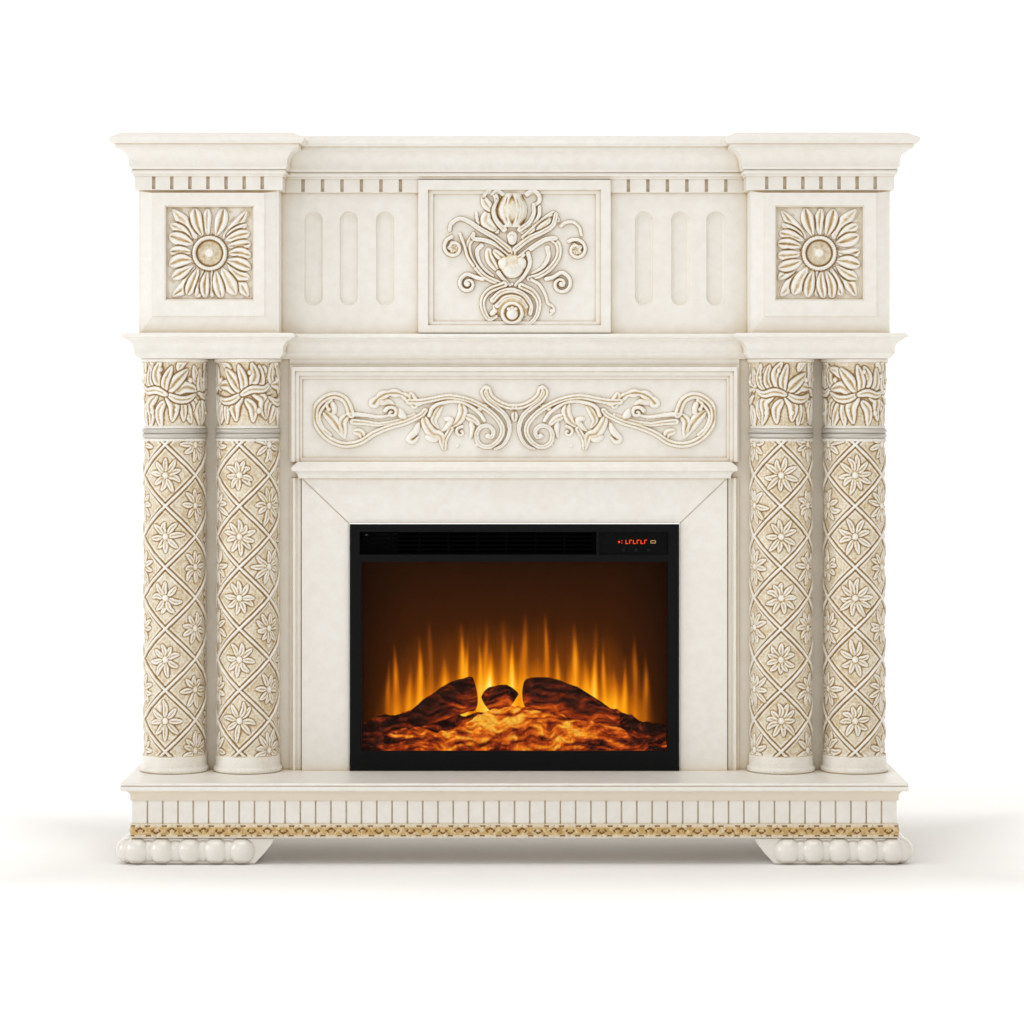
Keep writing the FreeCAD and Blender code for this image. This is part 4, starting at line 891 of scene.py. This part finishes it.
def capital_relief(relief, phase, wobble, flip):
    """Acanthus leaves that burst from a node half-way up the capital, three times round."""
    middle = (RING_ZONE[1] + COLUMN_TALL) / 2
    for turn in (-1, 0, 1):
        node = (phase * UNROLL_RADIUS + turn * LATTICE_TURN * UNROLL_RADIUS + wobble.normal() * 3,
                middle + wobble.normal() * 3)
        for path, half, tall, groove in CAPITAL_LEAVES:
            lean = wobble.normal() * 0.09
            grow = 1 + 0.05 * wobble.normal()
            c, s = math.cos(lean) * grow, math.sin(lean) * grow
            points = [(node[0] + flip * (c * u - s * v), node[1] + (s * u + c * v)) for u, v in path]
            relief.stroke(points, half, 1.8, tall, groove=groove, leaf=LEAF, cut=2.0)
        for u, v, size in ((-30, -34, 4.5), (42, 26, 4.0), (-10, 40, 3.5), (18, -30, 3.5), (-46, 28, 3.5)):
            spot = (node[0] + flip * u + wobble.normal() * 2, node[1] + v + wobble.normal() * 2)
            relief.ball(spot, size, size * 1.2, 4.5, base=2.0)
    inside = (relief.V > CAPITAL_ZONE[0]) & (relief.V < CAPITAL_ZONE[1])
    relief.h = np.where(inside | (relief.V < RING_ZONE[0]), relief.h, np.minimum(relief.h, 0.0))


def make_column(node, phase_degrees, seed, flip, material):
    low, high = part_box(node)
    radius = (high.x - low.x) / 2 / MM
    centre_x = (low.x + high.x) / 2
    axis_y = low.y + radius * MM
    tall = (high.z - low.z) / MM
    open_half = math.acos(-(high.y - axis_y) / MM / SHAFT_RADIUS)
    wobble = np.random.default_rng(seed)
    half = open_half * UNROLL_RADIUS
    relief = Relief((-half, half), (0, tall), 1.25, ground=0.0)
    phase = math.radians(phase_degrees)
    lattice_relief(relief, phase, wobble)
    capital_relief(relief, phase + math.radians(4), wobble, flip)
    relief.h = np.where((relief.V > RING_ZONE[0]) & (relief.V < RING_ZONE[1]), 0, relief.h)
    relief.h = np.where(relief.V < FIELD[0], 0, relief.h)
    relief.h = np.maximum(relief.h, -1.2)
    relief.roughen(np.where((relief.V > FIELD[0]) & (relief.V < 717), 0.22, 0.02), seed)
    angle = relief.U / UNROLL_RADIUS
    reach = (column_radius(relief.V) + relief.h) * MM
    x = centre_x + reach * np.sin(angle)
    y = np.minimum(axis_y - reach * np.cos(angle), high.y)
    z = low.z + relief.V * MM
    rings = np.stack([x, y, z], -1).transpose(1, 0, 2)
    cavity = relief.cavity(2.4, 1.0)
    # The plain bands and the ring get a fixed light value, with no painted shade on them.
    bands = (relief.V < FIELD[0] - 1) | (relief.V > 718) | (np.abs(relief.V - RING_MIDDLE) < 14)
    cavity = np.where(bands, 0.13, cavity).T
    mesh = tube_mesh(node + "_carving", rings, cavity=cavity)
    return add_piece(node + "_carving", mesh, material, replaces=(node,))


# ---- gilt trim -------------------------------------------------------------------------
def make_gilt_trim(material):
    """Carved strip round the front and ends of the plinth: beads between curled leaves."""
    low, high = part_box("gilt_trim")
    inset = 4.0
    tall = (high.z - low.z) / MM
    half_width = (high.x - low.x) / 2 / MM - inset
    depth = (high.y - low.y) / MM - inset
    front = low.y / MM + inset
    length = 2 * half_width + 2 * depth
    pitch = length / round(length / 27.0)
    relief = Relief((0, length), (0, tall), 1.0, ground=0.0)
    wobble = np.random.default_rng(5)
    middle = tall / 2
    for i in range(round(length / pitch)):
        start = (i + 0.5) * pitch
        relief.ball((start, middle), 6.0, 8.0, 4.0 + 0.3 * wobble.normal(), groove=0.35)
        for side in (1, -1):
            lift = side if i % 2 else -side
            relief.stroke([(start + side * 4, middle + lift * 2), (start + side * 8.5, middle + lift * 8),
                           (start + side * 12.5, middle + lift * 4), (start + side * 10, middle - lift * 1)],
                          3.0, 1.2, 3.6, groove=0.3, leaf=LEAF)
            relief.stroke([(start + side * 5, middle - lift * 3), (start + side * 9.5, middle - lift * 8),
                           (start + side * 13, middle - lift * 6)], 2.7, 1.0, 3.2, leaf=LEAF)
        relief.ball((start + pitch / 2, middle), 2.4, 2.8, 3.4)
    relief.roughen(0.1, 6)
    edge = np.minimum(relief.V, tall - relief.V)
    relief.h = np.where(edge < 2.2, np.maximum(relief.h * 0.4, 2.2), relief.h)
    s = relief.U
    on_left = s < depth
    on_right = s > depth + 2 * half_width
    x = np.where(on_left, -half_width, np.where(on_right, half_width, s - depth - half_width))
    y = np.where(on_left, front + depth - s, np.where(on_right, front + (s - depth - 2 * half_width), front))
    out_x = np.where(on_left, -1.0, np.where(on_right, 1.0, 0.0))
    out_y = np.where(on_left | on_right, 0.0, -1.0)
    z = low.z / MM + relief.V
    lift = np.clip(relief.h, -0.5, inset)
    face = np.stack([x + out_x * lift, y + out_y * lift, z], -1) * MM
    behind = np.stack([x - out_x * 3, y - out_y * 3, z], -1) * MM
    cavity = relief.cavity(2.0, 1.0)
    mesh = grid_mesh("gilt_trim_carving", face[:, ::-1], behind[:, ::-1], cavity=cavity[:, ::-1])
    return add_piece("gilt_trim_carving", mesh, material, replaces=("gilt_trim",))


# ---- feet ------------------------------------------------------------------------------
FRONT_BALLS = (-645, -602, -554, -510, -466)
BACK_BALLS = (-660, -624, -578, -532, -488)


def bead_string(places, size, step=0.8):
    """Distances along a row of equal balls and the radius at each, in millimetres."""
    along = np.linspace(min(places) - size + 0.05, max(places) + size - 0.05,
                        int((max(places) - min(places) + 2 * size) / step))
    away = np.min([np.abs(along - place) for place in places], axis=0)
    return along, np.maximum(np.sqrt(np.maximum(0, size ** 2 - away ** 2)), 0.6)


def make_foot(side, material):
    """Glossy foot: a row of balls in front, a smaller row behind, one down the end, and its bracket."""
    node = "foot_left" if side < 0 else "foot_right"
    low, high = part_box(node)
    tall = high.z / MM
    big = tall / 2
    small = big - 1
    angle = np.linspace(0, 2 * np.pi, 56, endpoint=False)
    front_y = low.y / MM + big
    rows = []
    for places, size, y in ((FRONT_BALLS, big + 1, front_y + 1), (BACK_BALLS, small, front_y + 6)):
        along, radius = bead_string(places, size)
        ring_y = y + np.outer(radius, np.cos(angle))
        ring_z = big + np.outer(np.minimum(radius, big), np.sin(angle))
        rows.append(np.stack([np.broadcast_to(-side * along[:, None], ring_y.shape), ring_y, ring_z], -1))
    along, radius = bead_string([front_y + 11 + i * 44 for i in range(3)], small)
    ring_x = side * (-BACK_BALLS[0] - 3) + np.outer(radius, np.cos(angle))
    ring_z = big + np.outer(np.minimum(radius, big), np.sin(angle))
    rows.append(np.stack([ring_x, np.broadcast_to(along[:, None], ring_x.shape), ring_z], -1))
    for index, row in enumerate(rows):
        mesh = tube_mesh(f"{node}_beads_{index}", row * MM)
        add_piece(f"{node}_beads_{index}", mesh, material, replaces=(node,))
    inner = min(abs(low.x), abs(high.x)) / MM
    outer = inner + 230
    slope = [(inner, tall), (inner + 4, tall - 9), (inner + 18, tall - 28), (inner + 34, 0.5),
             (outer, 0.5), (outer, tall)]
    y_near, y_far = front_y - 6, high.y / MM
    rings = np.array([[(side * x, y, z) for x, z in slope] for y in (y_near, y_near + 4, y_far - 4, y_far)])
    rings[0, :, 2] = rings[0, :, 2] * 0.94 + 1.0
    rings[-1, :, 2] = rings[-1, :, 2] * 0.94 + 1.0
    mesh = tube_mesh(f"{node}_bracket", (rings if side > 0 else rings[:, ::-1]) * MM)
    piece = add_piece(f"{node}_bracket", mesh, material, replaces=(node,))
    for polygon in piece.data.polygons:
        polygon.use_smooth = False


# ---- the fire --------------------------------------------------------------------------
def value_noise(x, y, seed, size=97):
    """Smooth random field from 0 to 1, with one cell per unit."""
    table = np.random.default_rng(seed).random((size, size))
    i, j = np.floor(x).astype(int), np.floor(y).astype(int)
    fx, fy = x - i, y - j
    fx, fy = fx * fx * (3 - 2 * fx), fy * fy * (3 - 2 * fy)
    near = table[i % size, j % size] * (1 - fx) + table[(i + 1) % size, j % size] * fx
    far = table[i % size, (j + 1) % size] * (1 - fx) + table[(i + 1) % size, (j + 1) % size] * fx
    return near * (1 - fy) + far * fy


def layered_noise(x, y, seed, octaves=4):
    total = sum(value_noise(x * 2 ** k, y * 2 ** k, seed + k) * 0.5 ** k for k in range(octaves))
    return total / sum(0.5 ** k for k in range(octaves))


def blend_colours(heat, stops):
    """Colour for each heat value, between (value, colour) stops."""
    places = [place for place, _ in stops]
    return np.stack([np.interp(heat, places, [colour[c] for _, colour in stops]) for c in range(3)], -1)


FIRE_COLOURS = (
    (0.00, (0.006, 0.002, 0.001)), (0.18, (0.045, 0.010, 0.001)), (0.36, (0.20, 0.045, 0.002)),
    (0.55, (0.60, 0.15, 0.002)), (0.75, (1.0, 0.37, 0.006)), (0.90, (1.0, 0.62, 0.05)),
    (1.0, (1.0, 0.82, 0.22)))
EMBER_COLOURS = (
    (0.00, (0.012, 0.004, 0.003)), (0.22, (0.045, 0.010, 0.005)), (0.40, (0.16, 0.018, 0.005)),
    (0.58, (0.42, 0.050, 0.006)), (0.76, (0.80, 0.150, 0.010)), (0.90, (0.95, 0.30, 0.015)),
    (1.0, (1.0, 0.50, 0.05)))
FLAME_FOOT = 250.0
FLAME_LIFT = 14
FLAMES = (
    # middle across, tip height before FLAME_LIFT, half-width, all in millimetres, and brightness
    (-226, 300, 5, 0.55), (-212, 332, 6, 0.72), (-188, 290, 6, 0.45), (-169, 340, 6, 0.75),
    (-150, 380, 6, 0.38), (-124, 308, 9, 0.55), (-94, 364, 7, 0.92), (-84, 350, 4, 0.55),
    (-62, 340, 5, 0.62), (-52, 372, 7, 0.55), (-44, 320, 7, 0.80), (-18, 378, 8, 0.42),
    (-3, 340, 6, 0.90), (17, 388, 8, 0.66), (57, 392, 6, 0.68), (77, 328, 6, 0.55),
    (107, 364, 8, 0.95), (128, 310, 7, 0.45), (143, 316, 6, 0.68), (160, 336, 5, 0.62),
    (143, 380, 6, 0.30), (196, 300, 5, 0.62), (216, 345, 7, 0.60), (234, 312, 6, 0.62),
    (178, 284, 9, 0.42))


def make_flames(material):
    low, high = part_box("flame_screen")
    x = np.arange(low.x / MM, high.x / MM, 1.6)
    z = np.arange(low.z / MM, high.z / MM, 2.0)
    X, Z = np.meshgrid(x, z, indexing="ij")
    bed_top = 292 - 62 * np.abs(X / 250) ** 1.6
    above = Z - bed_top
    side = np.clip((272 - np.abs(X)) / 95, 0, 1) ** 0.8
    heat = 0.165 * np.exp(-((Z - 300) / 190) ** 2) * (0.25 + 0.75 * side)
    heat += 0.40 * np.exp(-np.maximum(0, above + 10) / 58) * side
    ripple = layered_noise(X / 14, Z / 150, 11, 3)
    heat += 0.22 * np.exp(-np.maximum(0, above) / 60) * (ripple - 0.4) * side
    for middle, tip, half, bright in FLAMES:
        tip += FLAME_LIFT
        rise = np.clip((Z - FLAME_FOOT) / (tip - FLAME_FOOT + 22), 0, 1)
        sway = 3.0 * np.sin(Z / 40 + middle)
        width = half * (1.25 - 0.95 * rise)
        across = np.exp(-((X - middle - sway * rise) / width) ** 2)
        along = np.where(Z < FLAME_FOOT, 1.0, 1 - rise ** 3)
        along = along * (0.55 + 0.45 * np.exp(-((Z - tip + 38) / 34) ** 2))
        heat += 0.54 * bright * across * along * (rise < 1)
    heat *= 0.93 + 0.14 * layered_noise(X / 5, Z / 60, 12, 2)
    colour = blend_colours(np.clip(heat, 0, 1), FIRE_COLOURS)
    front = np.stack([X * MM, np.full_like(X, low.y), Z * MM], -1)
    back = np.stack([X * MM, np.full_like(X, high.y), Z * MM], -1)
    mesh = grid_mesh("flame_picture", front, back, glow=colour)
    return add_piece("flame_picture", mesh, material, replaces=("flame_screen",))


def ember_heat(x, z, seed, level, swing=1.0):
    """Patchy heat: flowing streaks of glowing coal between dark ash."""
    bend_x = 30 * (layered_noise(x / 38, z / 26, seed + 20, 2) - 0.5)
    bend_z = 22 * (layered_noise(x / 30, z / 34, seed + 33, 2) - 0.5)
    streak = layered_noise((x + bend_x) / 24, (z + bend_z) / 5.5, seed, 4)
    vein = 1 - np.abs(layered_noise((x - bend_x) / 16, (z + bend_z) / 6, seed + 7, 3) - 0.5) * 5
    return np.clip(level + swing * (1.5 * (streak - 0.5) + 0.22 * np.maximum(vein, 0)), 0, 1)


def make_mound(name, tops, y_front, y_back, foot, level, seed, rough, material):
    """A heap from side to side: tops gives (across, height) of its crest."""
    low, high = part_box("log_ember_bed")
    x = np.linspace(low.x / MM + 0.5, high.x / MM - 0.5, 330)
    t = np.linspace(0, 1, 90)
    X, T = np.meshgrid(x, t, indexing="ij")
    crest = np.interp(X, [p[0] for p in tops], [p[1] for p in tops])
    crest += rough * 1.4 * (layered_noise(X / 26, X * 0 + seed, seed + 3, 4) - 0.5)
    swing = np.pi * 0.94 * T
    y = y_front + (y_back - y_front) * (1 - np.cos(swing)) / 2
    z = foot + (crest - foot) * np.sin(swing) ** 0.8
    lump = rough * (layered_noise(X / 17, T * 7, seed, 5) - 0.5)
    lump = lump + rough * 0.5 * (layered_noise(X / 6, T * 18, seed + 5, 3) - 0.5)
    y = np.clip(y - lump * 1.3, low.y / MM + 0.5, high.y / MM - 0.5)
    z = np.clip(z + lump * 0.5, low.z / MM + 0.5, high.z / MM - 0.5)
    colour = blend_colours(ember_heat(X, z, seed, level(X, z)), EMBER_COLOURS)
    front = np.stack([X, y, z], -1) * MM
    under = np.stack([X, (y + (y_front + y_back) / 2) / 2, np.full_like(z, foot - 2)], -1) * MM
    mesh = grid_mesh(name, front, under, glow=colour)
    return add_piece(name, mesh, material, replaces=("log_ember_bed",))


def make_log(name, path, radii, seed, level, material, rings=150, around=96):
    """A charred log along a bent line, with long bark ridges and a broken end."""
    line = smooth_path(path, spacing=0.8)
    pick = np.linspace(0, len(line) - 1, rings)
    centre = np.stack([np.interp(pick, np.arange(len(line)), line[:, c]) for c in range(3)], -1)
    ahead = np.gradient(centre, axis=0)
    ahead /= np.linalg.norm(ahead, axis=1)[:, None]
    across = np.cross(ahead, (0, 1, 0))
    across /= np.linalg.norm(across, axis=1)[:, None]
    outward = np.cross(across, ahead)
    share = np.linspace(0, 1, rings)[:, None]
    angle = np.linspace(0, 2 * np.pi, around, endpoint=False)[None]
    radius = np.interp(share, np.linspace(0, 1, len(radii)), radii)
    dome = np.minimum(1, np.minimum(share, 1 - share) / 0.07)
    radius = radius * np.sqrt(1 - (1 - dome) ** 2 * 0.96)
    along = share * 40 + 0 * angle
    wrap = np.cos(angle) * 2.2 + 3 + 0 * share
    wrap2 = np.sin(angle) * 2.2 + 3 + 0 * share
    bark = layered_noise(along / 9, wrap * 2.3 + wrap2 * 1.7, seed, 5) - 0.5
    ridges = np.abs(layered_noise(along / 16, wrap * 4 - wrap2 * 3, seed + 9, 3) - 0.5)
    radius = radius * (1 + 0.26 * bark - 0.22 * ridges) + 1.2
    spin = np.cos(angle)[..., None] * across[:, None] + np.sin(angle)[..., None] * outward[:, None]
    points = centre[:, None] + radius[..., None] * spin
    low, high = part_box("log_ember_bed")
    points[..., 1] = np.clip(points[..., 1], low.y / MM + 0.5, high.y / MM - 0.5)
    x, z = points[..., 0], points[..., 2]
    heat = ember_heat(x, z, seed, level(x, z) - 0.05, 0.65)
    colour = blend_colours(heat, EMBER_COLOURS)
    mesh = tube_mesh(name, points * MM, glow=colour)
    return add_piece(name, mesh, material, replaces=("log_ember_bed",))


def make_fire():
    flames = glow("flame_light", 1.0, 0.8, 0.0)
    embers = glow("ember_light", 1.0, 0.75, 0.35)
    make_flames(flames)
    low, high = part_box("log_ember_bed")
    front, back = low.y / MM + 1, high.y / MM - 1
    foot = low.z / MM + 1
    crest = ((-270, 221), (-232, 232), (-174, 245), (-110, 232), (0, 240), (110, 240), (166, 243),
             (205, 232), (244, 221), (270, 218))
    make_mound("back_mound", crest, front + 22, back, foot,
               lambda x, z: 0.26 - 0.0010 * np.abs(x) + 0 * z, 31, 13, embers)
    bend = ((-186, 30, 222), (-140, 32, 248), (-92, 34, 268), (-66, 34, 272))
    make_log("log_left", bend, (13, 22, 28, 29), 41,
             lambda x, z: np.clip(0.12 + (x + 118) / 120 - (z - 262) / 90, 0.10, 0.46), embers)
    bend = ((-50, 42, 250), (-34, 40, 262), (-14, 40, 264), (-2, 40, 256))
    make_log("log_middle", bend, (15, 22, 22, 15), 43,
             lambda x, z: np.clip(0.36 - (z - 262) / 60, 0.10, 0.5), embers)
    bend = ((14, 32, 268), (52, 32, 270), (110, 32, 254), (160, 34, 232), (186, 36, 220))
    make_log("log_right", bend, (26, 30, 27, 20, 12), 47,
             lambda x, z: np.clip(0.32 - (z - 262) / 80 - np.maximum(0, x - 60) / 400, 0.10, 0.46), embers)
    crest = ((-270, 190), (-220, 205), (-174, 214), (-140, 205), (-111, 206), (-80, 224), (-48, 240),
             (-3, 248), (47, 244), (106, 232), (173, 212), (215, 196), (270, 186))
    make_mound("ember_pile", crest, front, back - 22, foot, pile_heat, 51, 11, embers)


def pile_heat(x, z):
    """How hot the front pile is: brightest in the middle, in bands up its face."""
    return np.clip(0.61 - (np.abs(x) / 240) ** 2 * 0.32 + 0.10 * np.cos((z - 222) / 14), 0, 1)


DISPLAY_Z = 543
BAR_PITCH = 6.6


def make_display(material):
    """Small lit marks on the control window: a square, two dots, six pairs of bars, an amber frame."""
    low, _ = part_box("control_panel")
    marks = [((184, 1.6), (DISPLAY_Z, 1.6)), ((189, 0.7), (541, 0.7)), ((189, 0.7), (545, 0.7))]
    for i in range(6):
        x = 196 + BAR_PITCH * i
        marks.append(((x, 0.7), (DISPLAY_Z, 3.4)))
        marks.append(((x + 2.4, 1.7), (546.2 if i % 2 else 540.2, 0.7)))
    amber = [((244, 4.0), (545.2, 0.7)), ((244, 4.0), (541.0, 0.7)), ((240, 0.7), (DISPLAY_Z, 2.4)),
             ((248, 0.7), (DISPLAY_Z, 2.4))]
    verts, quads, colours = [], [], []
    for colour, group in (((1.0, 0.07, 0.01), marks), ((0.42, 0.24, 0.08), amber)):
        for (x, half_x), (z, half_z) in group:
            b = len(verts)
            for y in (low.y / MM - 0.15, low.y / MM + 0.2):
                for dx, dz in ((-1, -1), (1, -1), (1, 1), (-1, 1)):
                    verts.append((x + dx * half_x, y, z + dz * half_z))
            colours += [colour] * 8
            quads += [(b, b + 1, b + 2, b + 3), (b + 7, b + 6, b + 5, b + 4), (b, b + 4, b + 5, b + 1),
                      (b + 1, b + 5, b + 6, b + 2), (b + 2, b + 6, b + 7, b + 3), (b + 3, b + 7, b + 4, b)]
    mesh = build_mesh("display_marks", np.array(verts) * MM, [np.array(quads)], glow=np.array(colours))
    return add_piece("display_marks", mesh, material)


# ---- putting it together ---------------------------------------------------------------
SCROLL_LIFT = 5
# The grille's black is deepened to painted shade, and the fan, element, case and motor in the dark behind it
# take the same near-black painted shade in place of their own materials.
NODE_LOOKS = {"slab_underboard": "cove_glaze_and_shade", "outlet_grille": "vent_black_and_shade", "fan_wheel": "vent_black_and_shade",
              "heating_element": "vent_black_and_shade", "heater_case": "vent_black_and_shade", "fan_motor": "vent_black_and_shade"}


def dress_cad_nodes():
    """Gives every CAD node the material of its slot, or its own look where NODE_LOOKS names one."""
    looks = {
        "painted_wood": painted_wood(),
        # Painted shade: the cove under the slab is tan all over, with a stronger line of glaze and painted
        # shade in its corners.
        "cove_glaze_and_shade": painted_wood("cove_glaze_and_shade", 0.60, 0.9),
        "cast_resin": plain("resin_core", (0.78, 0.74, 0.66), (0.86, 0.83, 0.77), 60, 0.45),
        "silver_paint": silver_paint(),
        "gilt": plain("gilt_core", (0.40, 0.24, 0.08), (0.62, 0.42, 0.17), 90, 0.42, 0.35),
        "gloss_enamel": gloss_enamel(),
        "raw_board": plain("raw_board", (0.42, 0.30, 0.19), (0.56, 0.42, 0.28), 60, 0.75, stretch=(1, 4, 4)),
        "black_metal": plain("black_metal", (0.0035, 0.0038, 0.004), (0.006, 0.0065, 0.007), 220, 0.46,
                             bump=0.12, shine=0.08),
        # Painted shade: near-black with almost no shine.
        "vent_black_and_shade": plain("vent_black_and_shade", (0.0006, 0.0006, 0.0007), (0.0012, 0.0012, 0.0013), 220, 0.6,
                              shine=0.02),
        "galvanised_steel": shell_steel(),
        "glass": clear_glass(),
        "smoked_plastic": plain("smoked_plastic", (0.002, 0.002, 0.0022), (0.004, 0.004, 0.0045), 40, 0.16,
                                shine=0.08),
        "black_plastic": plain("black_plastic", (0.004, 0.004, 0.0045), (0.008, 0.008, 0.0085), 260, 0.42,
                               shine=0.15),
        "circuit_board": plain("circuit_board", (0.01, 0.09, 0.04), (0.02, 0.15, 0.06), 70, 0.5),
        "flame_film": plain("flame_film", (0.02, 0.015, 0.01), (0.04, 0.03, 0.02), 30, 0.5),
        "ember_resin": plain("ember_resin", (0.03, 0.02, 0.015), (0.06, 0.03, 0.02), 80, 0.7),
        "bright_steel": plain("bright_steel", (0.50, 0.50, 0.51), (0.66, 0.66, 0.67), 120, 0.3, 1.0,
                              (1, 6, 6)),
        "motor_steel": plain("motor_steel", (0.28, 0.28, 0.29), (0.42, 0.42, 0.43), 90, 0.4, 0.9),
    }
    for part in frame["record"]["subparts"]:
        materials = frame["nodes"][part["node"]].data.materials
        materials.clear()
        materials.append(looks[NODE_LOOKS.get(part["node"], part["material_slot"])])
    return looks


def shell_steel():
    """Zinc-coated sheet outside, stove-black inside."""
    build = Nodes("galvanised_steel")
    place = build.axes()
    spangle = build.noise(70, 3, 0.6)
    zinc = build.ramp(spangle, ((0.3, (0.46, 0.47, 0.48)), (0.7, (0.62, 0.63, 0.64))))
    low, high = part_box("insert_shell")
    skin = 0.001
    inside = build.math("LESS_THAN", build.math("ABSOLUTE", place["X"]), high.x - skin)
    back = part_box("rear_cover")[1].y
    for axis, side, limit in (("Y", "LESS_THAN", back - skin), ("Z", "LESS_THAN", high.z - skin),
                              ("Z", "GREATER_THAN", low.z + skin)):
        inside = build.math("MULTIPLY", inside, build.math(side, place[axis], limit))
    build.link(build.mix(inside, zinc, (0.004, 0.0036, 0.003)), "Base Color")
    build.link(build.math("SUBTRACT", 0.9, inside, clamp=True), "Metallic")
    build.link(build.remap(spangle, 0.3, 0.7, 0.38, 0.5), "Roughness")
    return build.material


def main():
    enamel = dress_cad_nodes()["gloss_enamel"]
    resin = carved_resin(shade_offset=0.06)
    column_looks = carved_resin("column_resin", 0.09)
    columns = (("column_outer_left", -11, 1), ("column_inner_left", -11, -1),
               ("column_inner_right", -5, 1), ("column_outer_right", -5, -1))
    for seed, (node, phase, flip) in enumerate(columns):
        make_column(node, phase, 100 + seed, flip, column_looks)
    for side, seed, flip in (("left", 61, 1), ("right", 62, -1)):
        low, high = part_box("rosette_" + side)
        panel_relief("rosette_carving_" + side, rosette_relief(seed, flip), (low.x + high.x) / 2,
                     (low.z + high.z) / 2, high.y, resin, "rosette_" + side)
    low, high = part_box("cartouche")
    panel_relief("cartouche_carving", cartouche_relief(), 0, (low.z + high.z) / 2, high.y, resin,
                 "cartouche")
    low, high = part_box("scroll_ornament")
    panel_relief("scroll_carving", scroll_relief(), 0, (low.z + high.z) / 2 + SCROLL_LIFT * MM, high.y,
                 resin, "scroll_ornament")
    make_gilt_trim(gilt_paint())
    for side in (-1, 1):
        make_foot(side, enamel)
    make_fire()
    make_display(glow("display_light", 1.2, 0.5, 0.0))
    make_camera()
    make_lights()
    make_floor()


main()
